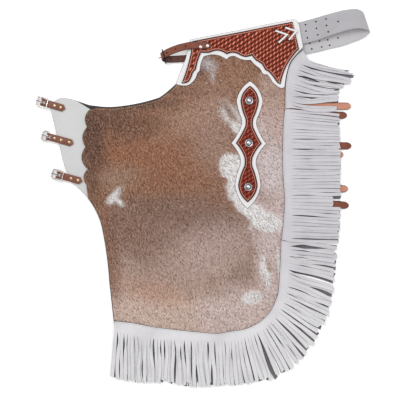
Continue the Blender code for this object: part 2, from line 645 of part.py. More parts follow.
def waist():
    """The strap on the yoke, round the upright buckle's bar and back to the lower leg."""
    rows = []
    start, end = Vector(WAIST_FROM), Vector(WAIST_TIP)
    for share, wide in ((0.0, 4), (0.12, 13), (0.24, 20), (0.5, 20), (0.76, 20), (1.0, 20)):
        spot = end.lerp(start, share)
        height = ON_YOKE(spot.x * MM, spot.y * MM) / MM + STRAP / MM / 2 + 0.1
        rows.append((spot.x, spot.y, height, 101, wide))
    strap = ribbon("waist_strap", rows + WAIST_ROWS, STRAP, BROWN)
    for index, (x, y, low, high) in enumerate(WAIST_HOLES):
        ends = (Vector((x, y, height)) * MM for height in (low, high))
        shape(strap, "DIFFERENCE", rod(f"waist_hole_{index}", *ends, STRAP_HOLE, 6))
    across = Vector((cos(radians(WAIST_ACROSS)), sin(radians(WAIST_ACROSS)), 0))
    bar = Vector(WAIST_BAR) * MM
    facing = across.cross(Vector((0, 0, 1)))
    upright = Matrix((facing, across, Vector((0, 0, 1)))).transposed().to_4x4()
    standing = Matrix.Translation(bar) @ Matrix((Vector((0, 0, 1)), across, -facing)).transposed().to_4x4()
    half = WAIST_FRAME[1] / 2 * MM - RIM
    rim("waist_frame", standing, half, half, WAIST_FRAME[0] * MM)
    left = facing if facing.x < 0 else -facing
    below = left.cross(across) * (BAR + GAP + PRONG)
    slot = rod("waist_prong_hole", bar + below + left * 0.0025, bar + below + left * 0.012, PRONG_HOLE)
    shape(strap, "DIFFERENCE", slot)
    flat = Matrix.Translation(bar) @ Matrix((left, across, left.cross(across))).transposed().to_4x4()
    prong("waist_prong", flat, 0.0165, BAR + GAP + PRONG)
    for name, x, y in WAIST_RIVETS:
        spot = Vector((x * MM, y * MM, seat(ON_YOKE, x * MM, y * MM, 0.006) + STRAP + 2 * GAP))
        turned(name, [(0.0045, 0), (0.0045, 0.0006), (0.003, 0.0017), (0, 0.002)], spot, NICKEL, sides=10)


def thongs():
    """Lacing that holds the belt: two chevrons on the yoke."""
    for name, one, point, two in THONGS:
        one, point, two = (Vector(place) * MM for place in (one, point, two))
        half = THONG_WIDE / 2 * MM
        sides = []
        for a, b in ((one, point), (point, two)):
            run = (b - a).normalized()
            sides.append(Vector((run.y, -run.x)) * half)
        bisector = (sides[0] + sides[1]).normalized()
        miter = bisector * half / bisector.dot(sides[0].normalized())
        outer = [one + sides[0], point + miter, two + sides[1]]
        inner = [two - sides[1], point - miter, one - sides[0]]
        panel(name, outer + inner, ON_YOKE, THONG, WHITE)


upper_leg()
lower_leg()
conchos()
fringes()
straps()
buckles()
belt()
waist()
thongs()
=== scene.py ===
"""Hair-on western chaps, folded in half and laid flat, finished around their construction model.

Lengths in the tables are millimetres in the outlines' own frame; CENTRE moves every piece to its place.
"""

import random
from math import atan2, ceil, cos, pi, radians, sin

import bmesh
import bpy
import numpy as np
from mathutils import Matrix, Vector


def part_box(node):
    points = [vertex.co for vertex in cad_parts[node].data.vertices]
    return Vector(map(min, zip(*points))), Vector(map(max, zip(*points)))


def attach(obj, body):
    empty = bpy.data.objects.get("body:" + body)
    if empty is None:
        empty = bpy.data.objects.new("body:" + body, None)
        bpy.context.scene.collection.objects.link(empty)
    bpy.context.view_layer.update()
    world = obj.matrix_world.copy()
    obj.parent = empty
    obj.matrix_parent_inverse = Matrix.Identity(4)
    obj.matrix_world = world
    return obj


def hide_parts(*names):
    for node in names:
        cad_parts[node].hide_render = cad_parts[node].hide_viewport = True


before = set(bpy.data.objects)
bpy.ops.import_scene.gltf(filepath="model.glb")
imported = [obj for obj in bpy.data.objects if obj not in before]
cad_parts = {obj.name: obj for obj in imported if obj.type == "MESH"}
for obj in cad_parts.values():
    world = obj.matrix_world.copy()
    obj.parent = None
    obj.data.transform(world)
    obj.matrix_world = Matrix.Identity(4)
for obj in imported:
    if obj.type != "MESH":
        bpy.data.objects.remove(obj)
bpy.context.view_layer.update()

MM = 0.001
GAP = 0.0003
CENTRE = Vector((0.0002, -0.0027, 0.0))

# Thickness of each leather
HIDE, FLAP, TRIM, YOKE = 0.0024, 0.0022, 0.0022, 0.0028
ORNAMENT_TRIM, ORNAMENT, LOWER_YOKE = 0.0020, 0.0024, 0.0025
STRIP, STRAND, STRAP, BELT, THONG = 0.0018, 0.0014, 0.0020, 0.0024, 0.0020
SEAT = 0.0005
RIM = 0.0006          # how far a cut edge is rounded off
SKIVE = 0.0010        # how far a fringe strip's inner edge is pared down
STRAND_PARE = 0.0003  # and a strand's edges

# Fringe
STRAND_SHARE = (0.84, 0.98)   # of the pitch: lower leg, upper leg
TIP_SHARE = (0.88, 0.97)
LOWER_LAYER = 0.0003
UPPER_LAYER = 0.0045
SWAY = 0.0045
SHORT_NEAR = (-14, 13)
SHORT_TO = 0.84

# Heights of the hides: along a table's axis, then millimetres up
LOWER_ALONG_X = [(120, 0.0), (170, 2.4)]
LOWER_ALONG_Y = [(-310, 2.4), (-262, 0.0), (284, 0.0), (305, 2.8)]
ROOM_ALONG_X = [(-276, 5.0), (-226, 0.0), (-150, 2.2), (-70, 0.0), (20, 1.9), (90, 0.0), (150, 2.3)]

# Creases of the upper leg: from x, y to x, y, then height and half width
CREASES = [(-300, 215, -150, 120, 0.8, 14), (-262, 30, -120, -10, 0.9, 11), (-205, -120, -70, -190, 0.7, 15),
           (-60, 240, 60, 120, 0.6, 18), (-170, -230, -20, -330, 0.8, 13), (60, -120, 200, -60, 0.7, 14),
           (20, -210, 170, -290, 0.6, 16), (-80, 30, 40, -70, 0.5, 20), (-190, 205, -90, 245, 0.7, 9),
           (-395, 215, -340, 120, 0.5, 8)]

# Outlines: x, y, bow of the edge that leaves the corner
HIDE_TOP = [(205, 468, 0), (-8, 420, 0), (-34, 345, 0), (-72, 315, 0), (-84, 303, -1),
            (-119, 277, -3), (-224, 254, -2.5), (-290, 253, 0)]
UPPER_CORNER = [(-310, 247, 9)]
SCALLOPS = [(-316.5, 199, 10.5), (-321, 145, 13.5), (-315, 84, 9.5), (-318.5, 41, 0)]
HIDE_LEFT = [(-314, 5, -4), (-276, -70, -3), (-254, -228, 0), (-241, -342, 4)]
HIDE_REST = [(39, -377, 2), (118, -364, 11), (200, -300, 6.5), (226, -158, 0), (236, 0, 0),
             (231.5, 94, 0), (237, 250, 0), (238, 307, 0), (250, 352, 0), (272, 386, 0), (222, 408, 0)]
LOWER_TOP = [(205, 468, 0), (-8, 420, 0), (-34, 345, 0), (-74, 317, 0), (-85, 307, -1),
             (-119, 281, -3), (-224, 257.5, -2.5), (-290, 257.5, 0)]
LOWER_CORNER = [(-311, 260, 0), (-346, 272, 0), (-322, 235, 5)]
LOWER_LEFT = [(-315.5, 4, -4), (-278, -70, -3), (-256, -228, 0), (-243, -342, 4)]
FLAP_EDGE = [(-280, 240, 0), (-310, 250, 0), (-346, 272, 1), (-385, 280, 7), (-417, 250, 0),
             (-389, 133, 3), (-360, 48, -2), (-318, 8, 0), (-298, 3, 0), (-286, 40, 0)]
TRIM_EDGE = [(257, 493, 0), (246, 494, 0), (-34, 439, 0), (-46, 388, 0), (-74, 317, 2.5),
             (-40, 313, 5), (-14, 346, 0), (-7, 354, -2.5), (4, 392, -9), (66, 383.5, -7.5),
             (97, 388.4, 2.8), (131.5, 382.5, 0.9), (149, 364.2, -1), (160.5, 353.3, 2.5),
             (170.5, 342, -1.6), (179.6, 339.6, -0.6), (191, 321.3, 0), (202.5, 311.5, 1.5),
             (218.5, 304.5, 0), (225, 308, -1.5), (235.6, 364, -1.5), (248.8, 388, -0.5),
             (276, 417.5, 0), (265, 478, 0)]
YOKE_EDGE = [(246, 487, 0), (-28, 434, 0), (-32, 403, -2), (-57.5, 319, 1.8), (-38, 323.5, 1.5),
             (-27.5, 345, -1), (-18.5, 356, -1.5), (-4, 403, 0.8), (20, 402.7, -7.7),
             (66, 398.2, -4.8), (100, 397.8, 5.4), (135, 395.5, 1), (147, 380.3, -0.6),
             (163, 370.2, 0), (170.3, 356.8, 0.9), (179.5, 351.4, -1), (201.4, 323.9, 1.3),
             (213.3, 316, -8.6), (264, 412, 0)]
ORNAMENT_AXIS = ((130.4, 325), (122.9, -25))
ORNAMENT_TRIM_HALF = [(0, 0, 7), (54, 36, 2), (102, 21.4, -1.5), (124, 21.6, -2), (171, 48, -2.6),
                      (211, 22.3, -1.2), (233, 22.6, 2), (285, 35.3, 7), (350, 0, 0)]
ORNAMENT_HALF = [(13, 0, 6), (55, 25, 2), (102, 11, -1.3), (125, 11, -1), (170.5, 35.3, -2.6),
                 (210, 11, -1.2), (233, 11, 2), (285, 26.6, 6), (332, 0, 0)]
CONCHOS = [("concho_1", 127.9, 271.7), ("concho_2", 126.9, 155.4), ("concho_3", 125.4, 35.2)]
CONCHO_SIZE = (11.5, 4.6)
# Painted shade and painted reflection on the conchos: the colour of their darkened recess ring and rim
CONCHO_PAINTED_SHADE = (84, 82, 86)
# The tooled pieces' dark rim: partly their dyed edge, partly painted shadow along the raised edge
DYE_AND_SHADE_RIM = (34, 12, 8)       # the tooled pieces' edges

# Fringe rows: the strip's inner edge x, y, the strands' roots x, y and their tips x, y
FRINGE_HIP = [(275, 410, 289, 384, 401, 357), (257, 395, 271, 373, 413, 344),
              (241, 373, 262.5, 357, 413, 326), (232.5, 348, 257, 336, 382, 312),
              (228, 320, 249.5, 312, 376, 293), (226.8, 301, 245.5, 283, 374, 274),
              (226, 250, 244, 251, 375, 238)]
FRINGE_SIDE = [(225, 248, 243.5, 248, 376, 237), (221, 200, 243.5, 205, 377, 198),
               (220, 164, 243.5, 164, 377, 163), (219.5, 100, 243.4, 100, 380, 100),
               (221, 55, 243, 55, 379, 55), (225, 0, 243.4, 0, 380, -3),
               (222, -52, 243, -62, 378, -68), (216, -109, 241.5, -115, 373, -119)]
FRINGE_HEM = [(215, -111, 240.5, -118, 372, -123), (213, -165, 236, -173, 365, -199),
              (208, -246, 232, -246, 351, -298), (200, -275, 220, -286, 329, -356),
              (189, -299, 194.5, -325, 287, -425), (172, -320, 173, -348, 246, -463),
              (147, -340, 150, -362, 205, -490), (112, -355, 121, -375, 153, -503),
              (74, -361, 91, -385, 106, -508), (39, -366, 34, -387, 40, -512),
              (-7, -363, -29, -385, -26, -515), (-83, -355, -92, -382, -89, -504),
              (-136, -348, -156, -376, -155, -503), (-189, -338, -206, -366, -206, -498),
              (-242, -332, -242, -360, -252, -487)]
# Name, rows, strands on the upper leg, strands on the lower leg, how unruly the strands lie, how they sag
FRINGES = [("hip", FRINGE_HIP, 18, 13, 1.0, 0.0045), ("side", FRINGE_SIDE, 40, 28, 0.4, 0.0),
           ("hem", FRINGE_HEM, 73, 50, 0.9, 0.0)]

# Leg straps: name, the side that shows, then x, y at the root and at the free end
STRAPS = [("leg_strap_1", "grain", 176, 232, 397, 232), ("leg_strap_2", "grain", 176, 148, 409, 148),
          ("leg_strap_3", "grain", 176, 2, 402, -16), ("lower_strap_1", "flesh", 176, 257, 408, 257),
          ("lower_strap_2", "flesh", 176, 124, 387, 124), ("lower_strap_3", "flesh", 176, 29, 400, 30)]
STRAP_WIDE = 20
STRAP_RIM = 0.0009
STRAP_END = ((14, 1), (8, 0.88), (3, 0.6), (0, 0.2))

# The belt and the waist strap: x, y, z, the way across in degrees, width
BELT_ROWS = [(231, 447.5, 11.4, 101, 59), (268, 456.2, 11.4, 101.5, 60), (307, 466.1, 13.2, 102, 60),
             (343.5, 477.4, 16.8, 102, 58), (380, 488.0, 20.8, 99, 56), (411, 493.5, 23.6, 96, 54),
             (427, 493.5, 24.0, 98, 53), (439, 490.5, 22.0, 102, 52), (446.5, 486.5, 18.2, 106, 51),
             (449, 482.5, 13.8, 109, 51), (446, 478, 9.0, 109, 52), (437, 472, 5.4, 107, 54),
             (422, 465.5, 3.6, 104, 57), (400, 458.3, 2.6, 103, 59), (378, 451.3, 2.6, 103, 60),
             (343, 443.3, 2.8, 103, 60), (308, 434.5, 3.6, 103, 60), (276, 428.5, 4.0, 103, 60),
             (238, 419, 4.0, 103, 60)]
BELT_HOLES = [(282.2, 479.5), (283.3, 461.9), (287.1, 443.4), (310.2, 487.4), (311.6, 469), (315.4, 451.4),
              (337.4, 494.3), (339.1, 476.7), (343.8, 459.1), (370.4, 486.9),
              (294.5, 429.4), (321.5, 435.7), (343.8, 439), (372.1, 444.3), (300, 414), (327.3, 419.8), (349.3, 424.2)]
WAIST_FROM, WAIST_TIP = (-30, 422.5), (24, 422.5)
WAIST_ROWS = [(-36, 421.5, 16.6, 104, 20), (-62, 415.5, 17.6, 106, 20), (-84, 407.5, 18.4, 107, 20),
              (-98, 401, 18.9, 107, 20), (-105, 397, 18.7, 106.5, 19), (-110.4, 393.8, 16.8, 106, 19),
              (-112.4, 391.4, 13.0, 105.5, 19), (-110.4, 388.8, 9.2, 105, 19),
              (-105, 386.8, 7.3, 104, 19), (-96, 385.4, 6.9, 100, 19), (-76, 385.8, 5.6, 97, 19),
              (-58, 387.2, 4.2, 96, 19), (-29, 389.6, 4.2, 96, 19)]
WAIST_HOLES = [(-46, 419.8, 17), (-74, 411.5, 18), (-97.5, 401.2, 18.9), (-68, 386.4, 5.0), (-87, 385.5, 6.3)]
WAIST_HOLE = 2.3
BELT_HOLE = 2.4
BELT_UPPER_HOLES = 10        # how many of the holes are in the belt's upper strand
HOLE_DEPTH = 0.6             # under the middle of the strap; the hole stops there, and its closed bottom is painted near-black as shade
THONGS = [("thong_1", (199, 462), (231, 451), (208, 429)), ("thong_2", (226, 470.5), (256.5, 460.5), (236, 437))]
THONG_WIDE = 5.4
THONG_SLOTS = [(196.6, 463.4), (223.8, 472), (206.2, 427.2), (234.2, 435.2)]


class Wire:
    """A value inside a material. Python's operators on it add the Math nodes."""

    def __init__(self, look, socket):
        self.look = look
        self.socket = socket

    def math(self, operation, *values):
        return self.look.node("Math", {"operation": operation}, dict(enumerate(values)))

    def __add__(self, other):
        return self.math("ADD", self, other)

    def __radd__(self, other):
        return self.math("ADD", other, self)

    def __sub__(self, other):
        return self.math("SUBTRACT", self, other)

    def __rsub__(self, other):
        return self.math("SUBTRACT", other, self)

    def __mul__(self, other):
        return self.math("MULTIPLY", self, other)

    def __rmul__(self, other):
        return self.math("MULTIPLY", other, self)

    def __pow__(self, other):
        return self.math("POWER", self, other)


class Look:
    """A material under construction."""

    def __init__(self, name):
        self.material = bpy.data.materials.new(name)
        self.material.use_nodes = True
        self.tree = self.material.node_tree
        self.shader = self.tree.nodes["Principled BSDF"]
        self.place = self.node("TexCoord", output="Object")

    def node(self, kind, settings=None, inputs=None, output=0):
        """Adds a node: its settings first, then a value or a wire for each of its sockets."""
        made = self.tree.nodes.new("ShaderNode" + kind)
        for key, value in (settings or {}).items():
            if key == "stops":
                ramp = made.color_ramp
                while len(ramp.elements) < len(value):
                    ramp.elements.new(0.5)
                for element, (at, colour) in zip(ramp.elements, value):
                    element.position = at
                    element.color = colour
            else:
                setattr(made, key, value)
        for key, value in (inputs or {}).items():
            self.feed(made.inputs[key], value)
        return Wire(self, made.outputs[output])

    def feed(self, socket, value):
        if isinstance(value, Wire):
            self.tree.links.new(value.socket, socket)
        else:
            socket.default_value = value

    def mix(self, share, one, two, blend="MIX"):
        settings = {"data_type": "RGBA", "blend_type": blend, "clamp_factor": True}
        return self.node("Mix", settings, {0: share, 6: one, 7: two}, output=2)

    def shift(self, size=(1, 1, 1), turn=0.0, place=(0, 0, 0), of=None):
        """The coordinates centred on a place, turned to a heading and divided by a size."""
        inputs = {"Vector": of or self.place, "Location": place, "Rotation": (0, 0, radians(turn)), "Scale": size}
        return self.node("Mapping", {"vector_type": "TEXTURE"}, inputs)

    def noise(self, grain, detail=2.0, turn=0.0, stretch=1.0, of=None):
        """Clouds about a grain's size in metres across, drawn out along a heading."""
        where = self.shift((grain * stretch, grain, grain), turn, of=of)
        return self.node("TexNoise", {}, {"Vector": where, "Scale": 1.0, "Detail": detail, "Roughness": 0.55})

    def between(self, value, low, high):
        """0 under low, 1 over high, eased between them."""
        settings = {"interpolation_type": "SMOOTHSTEP"}
        return self.node("MapRange", settings, {"Value": value, "From Min": low, "From Max": high})

    def attribute(self, name):
        return self.node("Attribute", {"attribute_name": name}, output="Fac")

    def done(self, colour, roughness=0.6, metallic=0.0, height=None, depth=0.0005, **fixed):
        self.feed(self.shader.inputs["Base Color"], colour)
        self.feed(self.shader.inputs["Roughness"], roughness)
        self.feed(self.shader.inputs["Metallic"], metallic)
        for name, value in fixed.items():
            self.shader.inputs[name.replace("_", " ")].default_value = value
        if height is not None:
            bump = self.node("Bump", {}, {"Strength": 0.9, "Distance": depth, "Height": height})
            self.feed(self.shader.inputs["Normal"], bump)
        return self.material


def tone(red, green, blue):
    """A colour from its screen values, 0 to 255."""
    return (*((value / 255) ** 2.2 for value in (red, green, blue)), 1.0)


WHITE_HAIR = tone(252, 252, 252)
# Patches of the coat, each over the ones before it:
# x, y, half length, half width, heading, soft edge, strength, colour
PATCHES = [
    (-190, 150, 140, 90, 5, 0.7, 0.6, tone(168, 104, 68)), (-60, 60, 120, 60, -20, 0.7, 0.5, tone(164, 106, 74)),
    (-10, 250, 120, 50, 30, 0.8, 0.7, tone(190, 152, 132)), (-60, 270, 90, 20, 20, 0.6, 0.4, tone(146, 96, 68)),
    (100, 330, 90, 50, -40, 0.7, 0.5, tone(170, 122, 96)), (40, 170, 60, 90, 0, 0.7, 0.65, tone(186, 152, 138)),
    (-235, 218, 90, 44, -4, 0.8, 0.75, tone(106, 70, 52)), (-304, 160, 36, 110, 4, 0.6, 0.8, tone(88, 54, 38)),
    (-160, 190, 60, 20, 20, 0.8, 0.4, tone(120, 84, 62)), (-215, 266, 120, 14, 0, 0.6, 0.7, tone(78, 50, 38)),
    (-235, 62, 62, 30, 12, 0.7, 0.75, tone(178, 144, 122)), (-300, 40, 16, 50, 10, 0.7, 0.7, tone(112, 74, 54)),
    (-120, -26, 110, 34, -8, 0.7, 0.6, tone(132, 100, 86)), (-20, -20, 80, 50, 0, 0.8, 0.5, tone(146, 116, 104)),
    (60, -60, 60, 40, -20, 0.8, 0.5, tone(146, 122, 112)), (-262, -130, 26, 170, 6, 0.6, 0.7, tone(146, 98, 72)),
    (-200, -96, 80, 50, -20, 0.8, 0.6, tone(136, 96, 76)), (30, -140, 110, 60, 25, 0.8, 0.75, tone(214, 188, 180)),
    (115, -205, 42, 30, 20, 0.6, 0.5, tone(150, 128, 118)), (190, 60, 62, 260, 0, 0.25, 0.95, tone(228, 208, 206)),
    (195, 280, 60, 60, 0, 0.6, 0.7, tone(200, 166, 148)), (-40, -330, 260, 60, -6, 0.6, 0.75, tone(232, 206, 192)),
    (-130, -255, 90, 28, -12, 0.7, 0.5, tone(212, 164, 136)), (80, -310, 90, 60, 10, 0.7, 0.7, tone(234, 214, 212)),
    (150, -290, 90, 60, 35, 0.6, 0.6, tone(226, 206, 200)), (185, -175, 40, 120, 0, 0.4, 0.8, tone(228, 210, 208)),
    (2, 366, 10, 34, -34, 0.9, 0.5, tone(96, 82, 80)), (16, 372, 15, 22, 60, 0.9, 0.9, tone(214, 208, 212)),
    (27, 342, 7, 16, 0, 0.9, 0.8, tone(214, 204, 204)),
    (82, 228, 44, 22, -52, 0.5, 0.8, WHITE_HAIR), (76, 236, 36, 9, -55, 0.6, 0.85, tone(160, 126, 106)),
    (93, 196, 26, 13, -52, 0.4, 0.9, WHITE_HAIR), (82, 88, 36, 42, 30, 0.22, 1.0, WHITE_HAIR),
    (92, 40, 30, 44, 10, 0.22, 1.0, WHITE_HAIR), (108, -8, 46, 24, -46, 0.25, 1.0, WHITE_HAIR),
    (172, -58, 46, 30, -10, 0.2, 1.0, WHITE_HAIR), (150, -40, 30, 26, -40, 0.25, 1.0, WHITE_HAIR),
    (176, 10, 30, 22, 0, 0.4, 0.6, tone(196, 172, 162)), (172, -196, 13, 42, 12, 0.28, 0.95, WHITE_HAIR),
    (181, -181, 8, 17, 12, 0.4, 0.75, tone(190, 160, 138)), (135, -266, 28, 17, 18, 0.3, 0.9, WHITE_HAIR),
    (208, -175, 5, 40, 3, 0.4, 0.8, WHITE_HAIR), (189, -141, 3, 5, 0, 0.5, 0.5, tone(120, 90, 80)),
    (-240, 14, 22, 9, 52, 0.9, 1.0, WHITE_HAIR), (-230, -2, 17, 7, -42, 0.9, 1.0, WHITE_HAIR),
    (-250, 4, 15, 9, 40, 0.9, 0.9, WHITE_HAIR), (198, 160, 26, 60, 0, 0.6, 0.5, tone(206, 176, 162)),
    (192, 90, 30, 70, 0, 0.5, 0.7, tone(236, 228, 230))]
COAT_STOPS = [(0.0, tone(224, 202, 190)), (0.2, tone(198, 168, 154)), (0.40, tone(166, 136, 124)),
              (0.56, tone(156, 112, 86)), (1.0, tone(150, 108, 84))]
COAT_FALL = (-370, 330)      # from the hem to the yoke
HAIR_WAY = -58               # degrees, the way the coat lies
HAIR_DEPTH = 0.0011          # how high the lying coat stands on its hide, in metres
HEM_FADE = (-0.10, -0.36)    # the fringe grows whiter from here to there, towards the hem


def coat(look):
    """Colour of the spotted coat at each place of the leg."""
    clouds = look.noise(0.06, 3.0)
    ragged = look.noise(0.012, 3.0, HAIR_WAY, 1.8)
    mottle = look.noise(0.0036, 1.0, HAIR_WAY, 1.5)
    low, high = (at * MM for at in COAT_FALL)
    along = look.node("SeparateXYZ", {}, {0: look.place}, output=1)
    fall = (along - low) * (1 / (high - low)) + (clouds - 0.5) * 0.25
    colour = look.node("ValToRGB", {"stops": COAT_STOPS}, {0: fall})
    wobble = (clouds - 0.5) * 0.8 + (ragged - 0.5) * 1.1
    for x, y, long, wide, turn, soft, strength, patch in PATCHES:
        centre = (x * MM + CENTRE.x, y * MM + CENTRE.y, 0)
        near = look.shift((long * MM, wide * MM, 1), turn, centre)
        away = look.node("VectorMath", {"operation": "LENGTH"}, {0: near}, output=1)
        colour = look.mix(look.between(away + wobble, 1 + soft, 1 - soft) * strength, colour, patch)
    dark = look.mix(1.0, colour, (0.46, 0.38, 0.34, 1), "MULTIPLY")
    light = look.mix(1.0, colour, (0.20, 0.15, 0.12, 1), "SCREEN")
    colour = look.mix(look.between(mottle + (ragged - 0.5) * 0.3, 0.51, 0.32), colour, dark)
    return look.mix(look.between(mottle, 0.50, 0.66), colour, light), mottle


def coat_skin():
    look = Look("hide_coat")
    colour, mottle = coat(look)
    return look.done(look.mix(0.35, colour, (0.25, 0.2, 0.18, 1), "MULTIPLY"), 0.75, height=mottle, depth=0.0006)


def coat_hair():
    """Each hair takes the coat's colour where it is rooted."""
    look = Look("coat_hair")
    look.place = look.node("CombineXYZ", {}, {0: look.attribute("root_x"), 1: look.attribute("root_y")})
    colour, _ = coat(look)
    shade = look.attribute("shade")
    colour = look.mix(look.between(shade, 0.4, 0.0) * 0.6, colour, (0.42, 0.34, 0.30, 1), "MULTIPLY")
    colour = look.mix(look.between(shade, 0.6, 1.0), colour, (0.16, 0.12, 0.10, 1), "SCREEN")
    return look.done(colour, 0.6, Specular_IOR_Level=0.2)


def pale(name, colour, rough=0.62, nap=0.0012, wear=0.10, hem=None):
    """Pale leather: fine grain, faint cloudy soiling and soft creasing. hem: its colour near the hem."""
    look = Look(name)
    grain = look.noise(nap, 4.0)
    creasing = look.noise(0.011, 3.0, 30, 2.0)
    soil = look.noise(0.05, 3.0)
    shade = tone(*colour)
    if hem:
        along = look.node("SeparateXYZ", {}, {0: look.place}, output=1)
        shade = look.mix(look.between(along, *HEM_FADE), shade, tone(*hem))
    shade = look.mix(look.between(soil, 0.3, 0.8) * wear, shade, tone(*(v * 0.82 for v in colour)))
    shade = look.mix(look.between(grain, 0.62, 0.3) * 0.22, shade, tone(*(v * 0.72 for v in colour)))
    return look.done(shade, look.between(grain, 0.2, 0.9) * 0.15 + rough - 0.07,
                     height=grain * 0.5 + creasing, depth=0.0005, Specular_IOR_Level=0.3)


def brown(name, colour, deep, rough=0.42, wear=0.5):
    """Oiled strap leather: darker pores, lighter where it is rubbed, dyed dark along its edges."""
    look = Look(name)
    grain = look.noise(0.0014, 4.0)
    clouds = look.noise(0.02, 3.0)
    shade = look.mix(look.between(clouds, 0.35, 0.75) * wear, tone(*deep), tone(*colour))
    shade = look.mix(look.between(grain, 0.55, 0.3) * 0.4, shade, tone(*(v * 0.6 for v in deep)))
    dyed = look.between(look.attribute("side"), 0.66, 0.92)
    shade = look.mix(dyed * 0.8, shade, tone(*(v * 0.42 for v in deep)))
    return look.done(shade, look.between(grain, 0.2, 0.9) * 0.2 + rough - 0.1,
                     height=grain + clouds * 0.5, depth=0.0004, Coat_Weight=0.12, Coat_Roughness=0.35)


def tooled(name, plain, rubbed, high, low):
    """Tooled leather: antique dye in what is pressed down, a painted highlight on what stands up."""
    look = Look(name)
    deep = look.attribute("deep")
    grain = look.noise(0.0012, 4.0)
    clouds = look.noise(0.03, 3.0)
    shade = look.mix(look.between(clouds, 0.3, 0.7), tone(*plain), tone(*rubbed))
    # painted highlight: what stands up is lightened towards the high colour
    shade = look.mix(look.between(deep, 0.36, 0.06), shade, tone(*high))
    shade = look.mix(look.between(deep, 0.45, 0.85), shade, tone(*low))
    shade = look.mix(look.between(grain, 0.5, 0.3) * 0.3, shade, tone(*low))
    # the darkest rim: partly edge dye, partly painted shadow
    shade = look.mix(look.between(deep, 0.87, 0.97), shade, tone(*DYE_AND_SHADE_RIM))
    return look.done(shade, look.between(deep, 0.0, 1.0) * 0.25 + 0.45, height=grain, depth=0.0003,
                     Specular_IOR_Level=0.25)


def metal(name, colour, deep, rough, painted_shade_rings=()):
    """Plated metal with tarnish in patches and fine scratches. The round pieces given last get painted shade in their
    recess ring and along their rim.
    """
    look = Look(name)
    tarnish = look.noise(0.006, 3.0)
    scratch = look.noise(0.0006, 2.0, 35, 14.0)
    shade = look.mix(look.between(tarnish, 0.4, 0.72), tone(*colour), tone(*deep))
    for _, x, y in painted_shade_rings:
        near = look.shift((CONCHO_SIZE[0] * MM, CONCHO_SIZE[0] * MM, 1), 0, (x * MM + CENTRE.x, y * MM + CENTRE.y, 0))
        away = look.node("VectorMath", {"operation": "LENGTH"}, {0: near}, output=1)
        # painted shade: each concho's recess ring and rim are darkened to stand in for shade and dark reflection
        recess = look.between(away, 0.28, 0.44) * look.between(away, 0.8, 0.62)
        rim = look.between(away, 0.82, 0.9) * look.between(away, 1.2, 1.1)
        shade = look.mix(recess * 0.75 + rim * 0.8, shade, tone(*CONCHO_PAINTED_SHADE))
    return look.done(shade, look.between(tarnish, 0.3, 0.8) * 0.16 + rough, 1.0, height=scratch, depth=0.00005)


def thread(name, colour):
    look = Look(name)
    strand = look.noise(0.0006, 2.0, 45, 4.0)
    return look.done(look.mix(strand, tone(*colour), tone(*(v * 0.75 for v in colour))), 0.7, height=strand,
                     depth=0.0002)


COAT = coat_skin()
HAIR = coat_hair()
SUEDE = pale("suede_back", (190, 160, 144), 0.85, 0.0008, 0.3)
FRINGE = pale("fringe_leather", (213, 210, 215), 0.66, 0.0011, 0.3, (234, 232, 234))
# Painted shade: the lower fringe's upper side and the upper fringe's underside are grey, for the shade between and
# under the strands
FRINGE_BACK_PAINTED_SHADE = pale("fringe_back_painted_shade", (120, 118, 122), 0.85, 0.0008, 0.3)
# Painted shadow: the cut edges of the fringe strips and strands are dark grey, for the shadow lines between them
FRINGE_EDGE_PAINTED_SHADE = pale("fringe_edge_painted_shade", (60, 58, 64), 0.85, 0.0008, 0.3)
FLAP_LEATHER = pale("flap_leather", (212, 213, 212), 0.6, 0.0012, 0.15)
BELT_LEATHER = pale("belt_leather", (184, 182, 186), 0.7, 0.0009, 0.3)
# Painted light: the belt's inner side is lighter than its outer side, to offset the shade under its upper strand
BELT_INSIDE_PAINTED_LIGHT = pale("belt_inside_painted_light", (200, 198, 201), 0.8, 0.0009, 0.2)
WHITE = pale("white_leather", (240, 238, 239), 0.5, 0.0014, 0.06)
PALE_EDGE = pale("pale_edge", (168, 166, 166), 0.8, 0.0008, 0.3)
# Painted shadow: the white trims' cut edges are grey-blue, for the shadow line along them
TRIM_RIM_PAINTED_SHADE = pale("trim_edge_painted_shade", (116, 116, 124), 0.8, 0.0008, 0.3)
DARK_EDGE = brown("dark_edge", (52, 38, 32), (30, 22, 18), 0.6)
TOOLED = tooled("tooled_leather", (152, 62, 38), (170, 78, 50), (244, 174, 148), (84, 22, 12))
TOOLED_DARK = tooled("tooled_ornament_leather", (136, 50, 30), (150, 60, 38), (178, 92, 62), (86, 24, 14))
BROWN = brown("strap_grain", (150, 74, 38), (118, 54, 28))
# Painted shade: a darker copy of the strap's flesh side, for the waist strap's return strand lying in shade
STRAP_FLESH_PAINTED_SHADE = brown("strap_flesh_painted_shade", (112, 64, 54), (82, 42, 34), 0.7)
TAB = brown("tab_grain", (158, 96, 74), (120, 70, 54))
BROWN_FLESH = brown("strap_flesh", (222, 160, 136), (204, 138, 114), 0.75, 0.6)
BROWN_EDGE = brown("strap_edge", (92, 40, 22), (62, 24, 14), 0.5)
NICKEL = metal("nickel", (205, 202, 198), (150, 146, 140), 0.22)
CONCHO = metal("concho_silver", (226, 226, 230), (168, 168, 172), 0.2, CONCHOS)
DARK_NICKEL = metal("dark_nickel", (120, 120, 122), (62, 62, 66), 0.28)
BRASS = metal("rivet_brass", (220, 200, 160), (170, 140, 96), 0.25)
SILVER = metal("rivet_silver", (236, 234, 232), (210, 206, 204), 0.3)
# Darker metal, for the waist buckle and its prong
BLACK_METAL = metal("black_finish", (58, 54, 54), (30, 28, 28), 0.35)
LIGHT_THREAD = thread("light_thread", (240, 206, 186))
GREY_THREAD = thread("grey_thread", (206, 206, 208))
TAN_THREAD = thread("tan_thread", (206, 176, 150))
# Painted shade: near-black inside punched holes and lacing slots
HOLE_PAINTED_SHADE = brown("punched_hole_painted_shade", (30, 22, 20), (14, 10, 9), 0.8)


